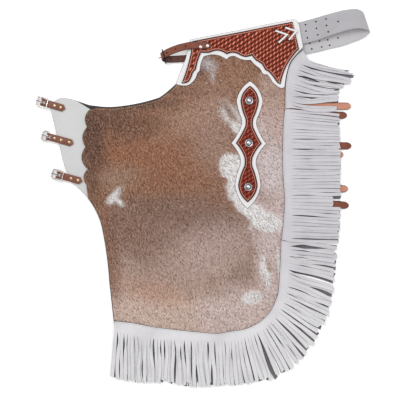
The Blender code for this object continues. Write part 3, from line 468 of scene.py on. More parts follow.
def eased(rows, at):
    """Height in metres at many places, eased between a table's rows."""
    places, heights = np.array(rows, float).T
    at = np.asarray(at) / MM
    index = np.clip(np.searchsorted(places, at) - 1, 0, len(rows) - 2)
    share = np.clip((at - places[index]) / (places[index + 1] - places[index]), 0, 1)
    share = share * share * (3 - 2 * share)
    return (heights[index] + (heights[index + 1] - heights[index]) * share) * MM


def from_line(x, y, ax, ay, bx, by):
    """How far places lie from a line between two points, and how far along it they are."""
    dx, dy = bx - ax, by - ay
    share = np.clip(((x - ax) * dx + (y - ay) * dy) / (dx * dx + dy * dy), 0, 1)
    return np.hypot(x - ax - share * dx, y - ay - share * dy), share


def creases(x, y):
    """Soft ridges that the folded leather keeps."""
    x, y = np.asarray(x) / MM, np.asarray(y) / MM
    total = np.zeros(np.shape(x))
    for ax, ay, bx, by, height, half in CREASES:
        away, share = from_line(x, y, ax, ay, bx, by)
        total += height * np.exp(-(away / half) ** 2) * np.sin(pi * np.clip(share, 0.08, 0.92)) ** 0.7
    return total * MM


def lower_hide(x, y):
    return eased(LOWER_ALONG_X, x) + eased(LOWER_ALONG_Y, y)


def upper_hide(x, y):
    return lower_hide(x, y) + HIDE + GAP + eased(ROOM_ALONG_X, x) + creases(x, y)


def above(surface, *layers):
    lift = sum(layers) + GAP * len(layers)
    return lambda x, y: surface(x, y) + lift


FLOOR = lambda x, y: np.zeros(np.shape(x))
UNDER_HIDE = lambda x, y: upper_hide(x, y) - GAP - FLAP
ON_HIDE = above(upper_hide, HIDE)
ON_TRIM = above(upper_hide, HIDE, TRIM)
ON_YOKE = above(upper_hide, HIDE, TRIM, YOKE)
ON_ORNAMENT_TRIM = above(upper_hide, HIDE, ORNAMENT_TRIM)
ON_ORNAMENT = above(upper_hide, HIDE, ORNAMENT_TRIM, ORNAMENT)


def bowed(rows, closed=True, step=4.0):
    """Points of an outline from its corners and bows, in metres."""
    points = []
    ends = rows[1:] + rows[:1] if closed else rows[1:]
    for (x, y, bow), (next_x, next_y, _) in zip(rows, ends):
        start = Vector((x, y)) * MM
        chord = Vector((next_x, next_y)) * MM - start
        out = Vector((chord.y, -chord.x)).normalized() * bow * MM
        steps = max(4, ceil(chord.length / (step * MM))) if bow else 1
        for part in range(steps):
            share = part / steps
            points.append(start + chord * share + out * 4 * share * (1 - share))
    if not closed:
        points.append(Vector(rows[-1][:2]) * MM)
    return points


def spindle(half):
    start, end = (Vector(point) for point in ORNAMENT_AXIS)
    down = (end - start).normalized()
    out = Vector((down.y, -down.x))
    left = bowed([(along, -wide, bow) for along, wide, bow in half], closed=False)
    points = [(start + down * point.x / MM + out * point.y / MM) * MM for point in left]
    points += [(start + down * point.x / MM - out * point.y / MM) * MM for point in reversed(left[1:-1])]
    return points[::-1]


def covers(points, x, y):
    """Which places lie inside an outline."""
    inside = np.zeros(np.shape(x), bool)
    for a, b in zip(points, points[1:] + points[:1]):
        if a.y != b.y:
            crosses = (a.y > y) != (b.y > y)
            inside ^= crosses & (x < (b.x - a.x) * (y - a.y) / (b.y - a.y) + a.x)
    return inside


def from_edge(points, x, y):
    """How far places lie from an outline."""
    nearest = np.full(np.shape(x), 1.0)
    for a, b in zip(points, points[1:] + points[:1]):
        nearest = np.minimum(nearest, from_line(x, y, a.x, a.y, b.x, b.y)[0])
    return nearest


def cut_size(points):
    """Width, length and area of a cut piece."""
    xs, ys = [point.x for point in points], [point.y for point in points]
    double = sum(a.x * b.y - b.x * a.y for a, b in zip(points, points[1:] + points[:1]))
    return (max(xs) - min(xs), max(ys) - min(ys)), abs(double) / 2


def piece(name, bm, looks, stands_for=(), smooth=40, values=None):
    """Closes a mesh as one piece of the object, in its place."""
    if not isinstance(bm, bpy.types.Mesh):
        mesh = bpy.data.meshes.new(name)
        bm.to_mesh(mesh)
        bm.free()
    else:
        mesh = bm
    mesh.transform(Matrix.Translation(CENTRE))
    for key, numbers in (values or {}).items():
        mesh.attributes.new(key, "FLOAT", "POINT").data.foreach_set("value", numbers)
    mesh.shade_smooth()
    mesh.set_sharp_from_angle(angle=radians(smooth))
    thing = bpy.data.objects.new(name, mesh)
    bpy.context.scene.collection.objects.link(thing)
    for look in looks:
        mesh.materials.append(look)
    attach(thing, "root")
    if stands_for:
        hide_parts(*stands_for)
    return thing


def parts_of(faces):
    """A list of faces with their edges and corners."""
    edges = {edge for face in faces for edge in face.edges}
    verts = {vert for face in faces for vert in face.verts}
    return [*verts, *edges, *faces]


def slice_up(bm, cell, faces):
    """Cuts faces along a square grid, so that they can follow a curved surface."""
    for axis in (0, 1):
        reach = [vert.co[axis] for vert in bm.verts]
        rest = list(faces)
        made = set(faces)
        normal = Vector((1 - axis, axis, 0))
        for step in range(1, ceil((max(reach) - min(reach)) / cell)):
            at = min(reach) + (step + 0.137) * cell
            cut = bmesh.ops.bisect_plane(bm, geom=parts_of(rest), dist=1e-7, plane_co=normal * at, plane_no=normal)
            found = [part for part in cut["geom"] if isinstance(part, bmesh.types.BMFace)]
            made.update(found)
            rest = [face for face in found if face.calc_center_bounds()[axis] > at]
        faces = [face for face in made if face.is_valid]
    return faces


def rounded(bm, width, segments=2):
    """Rounds the edges off a cut piece."""
    sharp = [edge for edge in bm.edges if len(edge.link_faces) == 2 and edge.calc_face_angle() > radians(60)
             and any(abs(face.normal.z) > 0.7 for face in edge.link_faces)]
    bmesh.ops.bevel(bm, geom=sharp, offset=width, segments=segments, profile=0.5, affect="EDGES",
                    material=-1, clamp_overlap=True)


def panel(name, points, bottom, thick, looks, stands_for, cell=9.0, fine=None, relief=None, rim=RIM):
    """A cut piece of leather on a surface. looks: its upper side, its lower side and its cut edge."""
    bm = bmesh.new()
    under = bm.faces.new([bm.verts.new((point.x, point.y, 0)) for point in points])
    top = bmesh.ops.extrude_face_region(bm, geom=[under], use_keep_orig=True)
    raised = [part for part in top["geom"] if isinstance(part, bmesh.types.BMVert)]
    bmesh.ops.translate(bm, verts=raised, vec=(0, 0, thick))
    bmesh.ops.recalc_face_normals(bm, faces=bm.faces)
    rounded(bm, rim)
    for face in bm.faces:
        face.material_index = 0 if face.normal.z > 0.99 else 1 if face.normal.z < -0.99 else 2
    slice_up(bm, cell * MM, bm.faces[:])
    if fine:
        slice_up(bm, fine * MM, [face for face in bm.faces if face.normal.z > 0.5])
    x, y, z = np.array([vert.co for vert in bm.verts]).T
    values = None
    if relief:
        lift, deep = relief(x, y)
        upper = z > thick * 0.55
        values = {"deep": np.where(upper, deep, 0.5)}
        z = z + np.where(upper, lift, 0)
    for vert, height in zip(bm.verts, z + bottom(x, y)):
        vert.co.z = height
    return piece(name, bm, looks, stands_for, values=values)


def through(rows, share):
    """A row between a table's rows, on a smooth curve through them; share runs from 0 to 1."""
    place = share * (len(rows) - 1)
    index = min(int(place), len(rows) - 2)
    t = place - index
    before, start, end = rows[max(index - 1, 0)], rows[index], rows[index + 1]
    after = rows[min(index + 2, len(rows) - 1)]
    return [0.5 * (2 * b + (c - a) * t + (2 * a - 5 * b + 4 * c - d) * t * t
                   + (3 * b - a - 3 * c + d) * t ** 3) for a, b, c, d in zip(before, start, end, after)]


def evenly(rows):
    """The share of a table's run at which each step of its strands' roots lies."""
    marks = [through(rows, step / 200) for step in range(201)]
    run = [0.0]
    for one, two in zip(marks, marks[1:]):
        run.append(run[-1] + (Vector(two[2:4]) - Vector(one[2:4])).length)
    return lambda part: float(np.interp(part * run[-1], run, np.linspace(0, 1, 201)))


def patch(bm, columns, rows, lift, place, side=None):
    """A sheet of squares whose corners a function places: share across, share along to point and thickness."""
    made = bmesh.ops.create_grid(bm, x_segments=columns, y_segments=rows, size=0.5)["verts"]
    for vert in made:
        if side:
            vert[side] = 2 * abs(vert.co.x)
        vert.co, vert[lift] = place(vert.co.x + 0.5, vert.co.y + 0.5)


def thicken(bm, lift):
    """Gives an open sheet its other side, each corner moved by its own lift."""
    made = bmesh.ops.extrude_face_region(bm, geom=bm.faces[:], use_keep_orig=True)
    raised = {part for part in made["geom"] if isinstance(part, bmesh.types.BMVert)}
    for vert in raised:
        vert.co += vert[lift]
    for face in bm.faces:
        upper = sum(vert in raised for vert in face.verts)
        face.material_index = 0 if upper == len(face.verts) else 2 if upper else 1
    bmesh.ops.recalc_face_normals(bm, faces=bm.faces)


def fringe(name, rows, strands, strip_bottom, rest, upper, unruly, sag, seed, stands_for):
    """A sewn strip whose outer edge is cut into strands that sway, cup and lie on each other."""
    chance = random.Random(seed)
    bm = bmesh.new()
    lift = bm.verts.layers.float_vector.new("lift")
    share_at = evenly(rows)
    across_count, along_count = (4, 13) if upper else (3, 7)
    share = STRAND_SHARE[upper]
    marks = []
    for i in range(strands):
        for k in range(across_count + 1):
            marks.append((i + 0.5 + share * (k / across_count - 0.5)) / strands)
    marks = [0.0, *marks, 1.0]
    table = [through(rows, share_at(mark)) for mark in marks]

    def strip(u, v):
        row = table[round(u * (len(marks) - 1))]
        inner, outer = Vector(row[0:2]), Vector(row[2:4])
        spot = inner.lerp(outer, v) * MM
        pared = (outer - inner).normalized() * (SKIVE if v == 0 else 0)
        return Vector((*spot, float(strip_bottom(spot.x, spot.y)))), Vector((*pared, STRIP))

    patch(bm, len(marks) - 1, 3, lift, strip)
    for i in range(strands):
        first, last = 1 + i * (across_count + 1), 1 + i * (across_count + 1) + across_count
        middle = through(rows, share_at((i + 0.5) / strands))
        root, tip = Vector(middle[2:4]) * MM, Vector(middle[4:6]) * MM
        left, right = Vector(table[first][2:4]) * MM, Vector(table[last][2:4]) * MM
        across = right - left
        fan = (Vector(table[last][4:6]) - Vector(table[first][4:6])).length * MM / across.length
        reach = 1.0 - unruly * (chance.uniform(0.0, 0.05) + chance.choice((0, 0, 0, 0, 0.06)))
        if upper and SHORT_NEAR[0] < root.y / MM < SHORT_NEAR[1]:
            reach = SHORT_TO
        lean = SWAY * sin((2 * i + 1) * 0.16 + seed) * sin((2 * i + 1) * 0.043 + 1.3 * seed)
        lean = unruly * (lean + chance.gauss(0, 0.0016) + chance.choice((0, 0, 0, 0, 0, 0.005, -0.005)) * upper)
        bend = unruly * chance.gauss(0, 0.0022) + sag
        curl = unruly * chance.gauss(0, 0.0014)
        pinch = unruly * chance.choice((0, 0, 0, 0, 0, 0.3, 0.55)) * upper
        narrow_at = chance.uniform(0.16, 0.34)
        swell = 0.14 * upper
        cup = chance.uniform(-0.0007, 0.0007)
        roll = chance.gauss(0, 0.0006)
        ripple = chance.uniform(0.0002, 0.0009)
        phase = chance.uniform(0, 6.28)
        layer = (0.0017 if i % 2 else 0.0) * upper
        slant = chance.uniform(-0.0025, 0.0025)
        wide = chance.uniform(0.88, 1.08)
        top = sum(float(strip_bottom(*Vector(table[k][2:4]) * MM)) for k in (first, last)) / 2

        def strand(u, v):
            if v == 0:
                spot = Vector(table[first + round(u * across_count)][2:4]) * MM
                return Vector((*spot, float(strip_bottom(spot.x, spot.y)))), Vector((0, 0, STRIP))
            part = v * reach
            length = (tip - root).length
            side = lean * part ** 1.5 + bend * sin(pi * part) + curl * sin(2 * pi * part)
            spot = root.lerp(tip, part) + across.normalized() * side
            spot += (tip - root).normalized() * slant * (u - 0.5) * 2 * max(0.0, v - 0.8) * 5
            grown = min(1.0, part * 4)
            narrowed = (1 + swell * grown) * (1 - pinch * np.exp(-((part - narrow_at) / 0.13) ** 2))
            spot += across * (1 + (TIP_SHARE[upper] * min(fan, 1.15) * wide - 1) * part) * (u - 0.5) * narrowed
            fall = min(1.0, part / 0.42)
            fall = fall * fall * (3 - 2 * fall)
            height = top + (rest - top) * fall + layer * fall
            if upper:
                bow = (1 - (2 * u - 1) ** 2) if cup > 0 else (2 * u - 1) ** 2
                height += grown * (abs(cup) * bow + roll * (u - 0.5) + abs(roll) / 2)
                height += ripple * (1 + sin(length * part * 60 + phase)) * grown * 0.6
            pared = across.normalized() * (STRAND_PARE * (1 if u == 0 else -1 if u == 1 else 0))
            return Vector((*spot, height)), Vector((*pared, STRAND))

        patch(bm, across_count, along_count, lift, strand)
    bmesh.ops.remove_doubles(bm, verts=bm.verts, dist=1e-6)
    thicken(bm, lift)
    # the lower fringe's upper side takes the grey of painted shade
    looks = (FRINGE, FRINGE_BACK_PAINTED_SHADE, FRINGE_EDGE_PAINTED_SHADE) if upper else (FRINGE_BACK_PAINTED_SHADE, FRINGE, FRINGE_EDGE_PAINTED_SHADE)
    return piece(name, bm, looks, stands_for)


def ribbon(name, rows, thick, looks, slot, stands_for, steps=None, holes=(), hole=0, rim=RIM):
    """A strap through its sections: x, y, z of the middle, the direction across it, its width."""
    bm = bmesh.new()
    lift = bm.verts.layers.float_vector.new("lift")
    steps = steps or 6 * (len(rows) - 1)

    def place(u, v):
        x, y, z, turn, wide = through(rows, v)
        ahead, behind = through(rows, min(v + 0.002, 1)), through(rows, max(v - 0.002, 0))
        along = Vector(ahead[:3]) - Vector(behind[:3])
        across = Vector((cos(radians(turn)), sin(radians(turn)), 0))
        normal = along.cross(across).normalized()
        flip = 1 if rows[0][0] < rows[-1][0] or slot != "brown" else -1
        spot = Vector((x, y, z)) * MM + across * (0.5 - u) * wide * MM
        return spot - normal * thick / 2 * flip, normal * thick * flip

    patch(bm, 6, steps, lift, place, bm.verts.layers.float.new("side"))
    thicken(bm, lift)
    sharp = [edge for edge in bm.edges if edge.calc_face_angle(0) > radians(60)]
    bevelled = bmesh.ops.bevel(bm, geom=sharp, offset=rim, segments=2, profile=0.5, affect="EDGES", material=-1,
                               clamp_overlap=True)
    for face in bevelled["faces"]:
        face.material_index = 2
    thing = piece(name, bm, looks, stands_for)
    if holes:
        punch(thing, holes, hole)
    return thing


def punch(thing, holes, radius):
    """Punches round holes: x, y, the lowest and the highest point of each punch."""
    bm = bmesh.new()
    for x, y, low, high in holes:
        place = Matrix.Translation(Vector((x, y, (low + high) / 2)) * MM + CENTRE)
        bmesh.ops.create_cone(bm, cap_ends=True, segments=16, radius1=radius * MM, radius2=radius * MM,
                              depth=(high - low) * MM, matrix=place)
    mesh = bpy.data.meshes.new("punch")
    bm.to_mesh(mesh)
    bm.free()
    # the punched walls and closed bottoms take near-black painted shade
    mesh.materials.append(HOLE_PAINTED_SHADE)
    tool = bpy.data.objects.new("punch", mesh)
    bpy.context.scene.collection.objects.link(tool)
    change = thing.modifiers.new("holes", "BOOLEAN")
    change.object = tool
    change.solver = "EXACT"
    change.material_mode = "TRANSFER"
    apply_changes(thing)
    bpy.data.objects.remove(tool, do_unlink=True)


def apply_changes(thing):
    """Makes a piece's modifiers part of its mesh."""
    shaped = thing.evaluated_get(bpy.context.evaluated_depsgraph_get())
    mesh = bpy.data.meshes.new_from_object(shaped)
    thing.modifiers.clear()
    thing.data = mesh


def strewn(name, shape, places, looks, each=None, smooth=40):
    """One joined mesh of many copies of a small shape, each at its own 4 by 4 place."""
    corners = np.array([(*vert.co, 1.0) for vert in shape.verts])
    faces = [[vert.index for vert in face.verts] for face in shape.faces]
    places = np.asarray(places)
    spots = np.einsum("nij,kj->nki", places, corners)[:, :, :3].reshape(-1, 3)
    sizes = np.tile([len(face) for face in faces], len(places))
    loops = (np.concatenate(faces)[None, :] + np.arange(len(places))[:, None] * len(corners)).ravel()
    mesh = bpy.data.meshes.new(name)
    mesh.vertices.add(len(spots))
    mesh.vertices.foreach_set("co", spots.ravel())
    mesh.loops.add(len(loops))
    mesh.loops.foreach_set("vertex_index", loops)
    mesh.polygons.add(len(sizes))
    mesh.polygons.foreach_set("loop_start", np.concatenate(([0], np.cumsum(sizes)[:-1])))
    mesh.update(calc_edges=True)
    values = {key: np.repeat(numbers, len(corners)) for key, numbers in (each or {}).items()}
    return piece(name, mesh, looks, smooth=smooth, values=values)


def stitch_shape():
    bm = bmesh.new()
    bmesh.ops.create_icosphere(bm, subdivisions=1, radius=1.0)
    bm.verts.index_update()
    return bm


def along_path(points, pitch, closed):
    """Evenly spaced places on a path, with the direction there."""
    path = points + points[:1] if closed else points
    run = np.cumsum([0.0] + [(b - a).length for a, b in zip(path, path[1:])])
    count = max(2, round(run[-1] / pitch))
    marks = (np.arange(count) + 0.5) * run[-1] / count
    index = np.clip(np.searchsorted(run, marks) - 1, 0, len(path) - 2)
    for mark, i in zip(marks, index):
        step = path[i + 1] - path[i]
        if step.length:
            yield path[i] + step * (mark - run[i]) / step.length, step.normalized()


def inset(points, distance, closed=True):
    """An outline moved inwards, for the sewing along it."""
    moved = []
    count = len(points)
    for i, point in enumerate(points):
        before = points[i - 1] if closed or i else point
        after = points[(i + 1) % count] if closed or i < count - 1 else point
        way = (after - before).normalized()
        moved.append(point + Vector((-way.y, way.x)) * distance)
    return moved


def stitches(name, runs, look, pitch=3.4, long=1.25, thick=0.62):
    """Sewing: each run is a path, whether it is closed, and the surface it is sewn on."""
    places = []
    for points, closed, surface in runs:
        for spot, way in along_path(points, pitch * MM, closed):
            height = float(surface(spot.x, spot.y)) + 0.0001
            side = Vector((-way.y, way.x))
            places.append(((way.x * long * MM, side.x * thick * MM, 0, spot.x),
                           (way.y * long * MM, side.y * thick * MM, 0, spot.y),
                           (0, 0, thick * MM * 0.8, height), (0, 0, 0, 1)))
    return strewn(name, stitch_shape(), places, (look,))


WEAVE = (10.1, 12.1)         # between the columns of slanted strokes, and between a column's strokes
WEAVE_SLANT = 60            # degrees that a stroke leans
BORDER = 7.4                 # from the edge, where the stamping starts
DARK_RIM = 2.3               # from the edge, the dark rim: partly edge dye, partly painted shadow
SEWN_AT = 4.8                # the sewing
PLAIN_DEPTH = 0.4            # what the border counts as, between 0 that stands up and 1 that is pressed down


def basket(points, sink=0.0008):
    """The stamped weave inside a plain border and its pressed line."""
    def relief(x, y):
        across = x / MM + 1.3 * np.sin(31 * x + 17 * y) + 0.9 * np.sin(23 * y - 41 * x + 1)
        up = y / MM + 1.1 * np.sin(27 * x + 0.6)
        pressed = np.ones(np.shape(x))
        for near in (-1, 0, 1):
            column = np.floor(across / WEAVE[0]) + near
            v = up / WEAVE[1] + 0.5 * (column % 2)
            v = v - np.floor(v) - 0.5
            from_middle = across - (column + 0.5) * WEAVE[0] - v * WEAVE[1] / np.tan(radians(WEAVE_SLANT))
            struck = 0.88 + 0.12 * np.sin(2.9 * column + 3.7 * np.floor(up / WEAVE[1]))
            stroke = struck * np.exp(-(from_middle / 2.9) ** 2) * np.clip(np.cos(pi * v * 1.03), 0, 1) ** 0.4
            pressed = np.minimum(pressed, 1 - stroke)
        away = from_edge(points, x, y) / MM
        field = np.clip((away - BORDER) / 0.8, 0, 1)
        line = np.exp(-((away - BORDER + 0.6) / 0.55) ** 2)
        pressed = pressed * field
        # the dark rim along the edge: partly edge dye, partly painted shadow
        edge = np.clip(1.5 - away / DARK_RIM, 0, 1)
        deep = np.minimum(pressed * 0.95 + line * 0.6 + PLAIN_DEPTH * (1 - field), 0.85) + edge
        return -sink * (pressed + line * 0.7), np.clip(deep, 0, 1)
    return relief


HIDE_POINTS = bowed(HIDE_TOP + UPPER_CORNER + SCALLOPS + HIDE_LEFT + HIDE_REST)
LOWER_POINTS = bowed(LOWER_TOP + LOWER_CORNER + SCALLOPS + LOWER_LEFT + HIDE_REST)
FLAP_POINTS = bowed(FLAP_EDGE)
TRIM_POINTS = bowed(TRIM_EDGE)
YOKE_POINTS = bowed(YOKE_EDGE)
ORNAMENT_TRIM_POINTS = spindle(ORNAMENT_TRIM_HALF)
ORNAMENT_POINTS = spindle(ORNAMENT_HALF)


def flat_sheet(points):
    size, area = cut_size(points)


def coat_hairs(name, points, masks, count, surface, seed):
    """Short hairs that lie over each other, rooted all over a panel but for what is sewn on it."""
    chance = np.random.default_rng(seed)
    xs, ys = [point.x for point in points], [point.y for point in points]
    x = chance.uniform(min(xs), max(xs), count * 3)
    y = chance.uniform(min(ys), max(ys), count * 3)
    way = radians(HAIR_WAY) + 0.28 * np.sin(9 * x + 5 * y) + 0.2 * np.sin(11 * y - 14 * x + 1.3)
    way += chance.normal(0, 0.22, len(x))
    long = chance.uniform(0.0048, 0.0082, len(x))
    tip_x, tip_y = x + np.cos(way) * long, y + np.sin(way) * long
    keep = covers(points, x, y) & covers(points, x + np.cos(way) * long * 0.7, y + np.sin(way) * long * 0.7)
    for mask in masks:
        keep &= ~covers(mask, x, y) & ~covers(mask, tip_x, tip_y)
    x, y, way, long = (values[keep][:count] for values in (x, y, way, long))
    bm = bmesh.new()
    blade = [bm.verts.new(spot) for spot in ((-0.5, 0, -0.02), (0.5, 0, -0.02), (0.42, 0.55, 0.11), (-0.42, 0.55, 0.11),
                                             (0, 1, 0.13))]
    bm.faces.new(blade[:4])
    bm.faces.new((blade[3], blade[2], blade[4]))
    bm.verts.index_update()
    wide = chance.uniform(0.0006, 0.0012, len(x))
    rise = chance.uniform(0.6, 1.25, len(x))
    each = {"shade": chance.uniform(0, 1, len(x)), "root_x": x + CENTRE.x, "root_y": y + CENTRE.y}
    zero, one = np.zeros(len(x)), np.ones(len(x))
    height = surface(x, y)
    places = np.array([[np.sin(way) * wide, np.cos(way) * long, zero, x],
                       [-np.cos(way) * wide, np.sin(way) * long, zero, y],
                       [zero, zero, long * rise, height], [zero, zero, zero, one]]).transpose(2, 0, 1)
    return strewn(name, bm, places, (HAIR,), each, smooth=80)


def strip_mask(rows):
    """The outline of a fringe strip where it lies on the hide."""
    inner = [Vector(through(rows, step / 60)[0:2]) * MM for step in range(61)]
    outer = [Vector(through(rows, step / 60)[2:4]) * MM for step in range(61)]
    return inner + outer[::-1]


def hides():
    masks = [TRIM_POINTS, ORNAMENT_TRIM_POINTS] + [strip_mask(rows) for _, rows, *_ in FRINGES]
    hair = coat_hairs("coat", HIDE_POINTS, masks, 62000, above(upper_hide, HIDE), 5)
    hide = panel("hide", HIDE_POINTS, upper_hide, HIDE, (COAT, SUEDE, DARK_EDGE), ["leg_hide"])
    flat_sheet(HIDE_POINTS)
    # The lower hide's upper side takes the dark edge colour: painted shade where it shows from under the upper hide
    under = panel("under_hide", LOWER_POINTS, lower_hide, HIDE, (DARK_EDGE, COAT, DARK_EDGE), ["lower_hide"])
    flat_sheet(LOWER_POINTS)


def flaps():
    flap = panel("flap", FLAP_POINTS, UNDER_HIDE, FLAP, (FLAP_LEATHER, SUEDE, DARK_EDGE), ["leg_flap"])
    flat_sheet(FLAP_POINTS)
    under = panel("under_flap", FLAP_POINTS, above(lower_hide, HIDE), FLAP, (SUEDE, FLAP_LEATHER, DARK_EDGE),
                  ["lower_flap"])
    flat_sheet(FLAP_POINTS)


def yokes():
    # the trim's grey edge is painted shadow
    trim = panel("trim", TRIM_POINTS, ON_HIDE, TRIM, (WHITE, SUEDE, TRIM_RIM_PAINTED_SHADE), ["yoke_trim"], rim=0.001)
    flat_sheet(TRIM_POINTS)
    yoke = panel("tooled_yoke", YOKE_POINTS, ON_TRIM, YOKE, (TOOLED, BROWN_FLESH, BROWN_EDGE), ["yoke"],
                 12.0, 1.1, basket(YOKE_POINTS))
    flat_sheet(YOKE_POINTS)
    under = panel("under_yoke", TRIM_POINTS, FLOOR, LOWER_YOKE, (BROWN_FLESH, WHITE, PALE_EDGE),
                  ["lower_yoke"])
    flat_sheet(TRIM_POINTS)


def ornaments():
    # the ornament border's grey edge is painted shadow
    trim = panel("ornament_border", ORNAMENT_TRIM_POINTS, ON_HIDE, ORNAMENT_TRIM, (WHITE, SUEDE, TRIM_RIM_PAINTED_SHADE),
                 ["ornament_trim"], rim=0.0009)
    flat_sheet(ORNAMENT_TRIM_POINTS)
    tooling = panel("tooled_ornament", ORNAMENT_POINTS, ON_ORNAMENT_TRIM, ORNAMENT,
                    (TOOLED_DARK, BROWN_FLESH, BROWN_EDGE), ["ornament"], 12.0, 1.1,
                    basket(ORNAMENT_POINTS))
    flat_sheet(ORNAMENT_POINTS)


def fringes():
    for index, (place, rows, upper, lower, unruly, sag) in enumerate(FRINGES):
        strip = lambda x, y: ON_HIDE(x, y) + SEAT - GAP
        ground = lambda x, y: LOWER_LAYER
        for label, count, bottom, rest, on, seed, node in (
                ("fringe_over_", upper, strip, UPPER_LAYER, "leg_hide", 3, "fringe_"),
                ("fringe_under_", lower, ground, LOWER_LAYER, "lower_hide", 7, "lower_fringe_")):
            made = fringe(label + place, rows, count, bottom, rest, node == "fringe_", unruly, sag, seed + index,
                          [node + place])
            points = [Vector(row[0:2]) * MM for row in rows] + [Vector(row[4:6]) * MM for row in reversed(rows)]
            size, area = cut_size(points)
            area * (0.97 if node == "fringe_" else 0.84)


def straps():
    between = (lower_hide(0.2, 0) + HIDE + GAP + STRAP / 2) / MM
    sagged = (LOWER_LAYER + STRAND + GAP + STRAP / 2) / MM
    for name, side, x, y, end_x, end_y in STRAPS:
        turn = 90 + atan2(end_y - y, end_x - x) * 180 / pi
        rows = []
        stations = [(x, between, 1), (206, between, 1), (236, between, 1), (272, sagged, 1), (310, sagged, 1),
                    (350, sagged, 1)]
        stations += [(end_x - short, sagged, wide) for short, wide in STRAP_END]
        for at, height, wide in stations:
            share = (at - x) / (end_x - x)
            rows.append((at, y + (end_y - y) * share, height, turn, STRAP_WIDE * wide))
        looks = (BROWN, BROWN_FLESH, BROWN_EDGE) if side == "grain" else (BROWN_FLESH, BROWN, BROWN_EDGE)
        strap = ribbon(name.replace("leg", "over").replace("lower", "under"), rows, STRAP, looks,
                       "brown" if side == "grain" else "flesh", [name], rim=STRAP_RIM)


def belts():
    marks = [through(BELT_ROWS, step / 100) for step in range(101)]
    holes = []
    for index, (x, y) in enumerate(BELT_HOLES):
        strand = marks[:50] if index < BELT_UPPER_HOLES else marks[60:]
        middle = min(strand, key=lambda mark: (mark[0] - x) ** 2 + (mark[1] - y) ** 2)[2]
        holes.append((x, y, middle - HOLE_DEPTH, middle + 4))
    belt = ribbon("back_belt", BELT_ROWS, BELT, (BELT_LEATHER, BELT_INSIDE_PAINTED_LIGHT, PALE_EDGE), "pale", ["belt"],
                  holes=holes, hole=BELT_HOLE)
    start, end = Vector(WAIST_FROM), Vector(WAIST_TIP)
    rows = []
    for share, wide in ((0.0, 4), (0.12, 13), (0.24, 20), (0.5, 20), (0.76, 20), (1.0, 20)):
        spot = end.lerp(start, share)
        rows.append((spot.x, spot.y, float(ON_YOKE(spot.x * MM, spot.y * MM)) / MM + 1.1, 101, wide))
    rows += WAIST_ROWS
    strap = ribbon("front_strap", rows, STRAP, (BROWN, STRAP_FLESH_PAINTED_SHADE, BROWN_EDGE), "brown", ["waist_strap"], 110,
                   [(x, y, z - HOLE_DEPTH, z + 4) for x, y, z in WAIST_HOLES], WAIST_HOLE, STRAP_RIM)


def thongs():
    for name, one, point, two in THONGS:
        one, point, two = (Vector(place) * MM for place in (one, point, two))
        half = THONG_WIDE / 2 * MM
        sides = []
        for a, b in ((one, point), (point, two)):
            run = (b - a).normalized()
            sides.append(Vector((run.y, -run.x)) * half)
        bisector = (sides[0] + sides[1]).normalized()
        miter = bisector * half / bisector.dot(sides[0].normalized())
        outline = [one + sides[0], point + miter, two + sides[1], two - sides[1], point - miter, one - sides[0]]
        panel(name.replace("thong", "lacing"), outline, ON_YOKE, THONG, (WHITE, WHITE, PALE_EDGE), [name], 3.0)
    places = []
    for x, y in THONG_SLOTS:
        height = float(ON_YOKE(x * MM, y * MM))
        places.append(((0.0027, 0, 0, x * MM), (0, 0.0027, 0, y * MM), (0, 0, 0.0004, height), (0, 0, 0, 1)))
    # dark discs at the slots: painted shade where the lacing goes through
    strewn("lacing_slots", stitch_shape(), places, (HOLE_PAINTED_SHADE,))


def tabs():
    """The folded strap ends of the buckles, from their solids with softer edges."""
    for number in (1, 2, 3):
        for node, name in ((f"buckle_tab_{number}", f"tab_{number}"), (f"lower_tab_{number}", f"under_tab_{number}")):
            bm = bmesh.new()
            bm.from_mesh(bpy.data.objects[node].data)
            bm.transform(bpy.data.objects[node].matrix_world)
            bmesh.ops.remove_doubles(bm, verts=bm.verts, dist=1e-6)
            bmesh.ops.dissolve_limit(bm, angle_limit=radians(2), verts=bm.verts, edges=bm.edges)
            bmesh.ops.translate(bm, verts=bm.verts, vec=-CENTRE)
            sharp = [edge for edge in bm.edges if edge.calc_face_angle(0) > radians(40)]
            bevelled = bmesh.ops.bevel(bm, geom=sharp, offset=0.0006, segments=2, profile=0.5, affect="EDGES",
                                       material=-1, clamp_overlap=True)
            for face in bevelled["faces"]:
                face.material_index = 1
            bmesh.ops.triangulate(bm, faces=[face for face in bm.faces if len(face.verts) > 4])
            piece(name, bm, (TAB, BROWN_EDGE), [node], smooth=35)


def dome(name, x, y, low, profile, sides, look, node, shape=None):
    """A round fitting: a profile of radius and height, spun about an upright axis."""
    bm = bmesh.new()
    verts = [bm.verts.new((radius * MM, 0, height * MM)) for radius, height in profile]
    edges = [bm.edges.new(pair) for pair in zip(verts, verts[1:])]
    bmesh.ops.spin(bm, geom=verts + edges, axis=(0, 0, 1), cent=(0, 0, 0), angle=2 * pi, steps=sides, use_merge=True)
    bmesh.ops.remove_doubles(bm, verts=bm.verts, dist=1e-6)
    bmesh.ops.holes_fill(bm, edges=bm.edges, sides=0)
    bmesh.ops.recalc_face_normals(bm, faces=bm.faces)
    for vert in bm.verts:
        if shape:
            vert.co = shape(vert.co)
    bmesh.ops.translate(bm, verts=bm.verts, vec=(x * MM, y * MM, low))
    return piece(name, bm, (look,), [node], smooth=50)


def petals(co):
    """Petals pressed into a concho, and its scalloped rim."""
    turn = atan2(co.y, co.x)
    away = Vector(co[:2]).length / (CONCHO_SIZE[0] * MM)
    wave = 0.5 + 0.5 * cos(8 * turn)
    fade = max(0.0, min(1.0, (away - 0.3) * 4)) * max(0.0, min(1.0, (0.88 - away) * 6))
    scallop = 1 + 0.025 * cos(24 * turn) * max(0.0, min(1.0, (away - 0.85) * 10))
    return Vector((co.x * scallop, co.y * scallop, co.z - 0.0007 * (1 - wave) * fade))


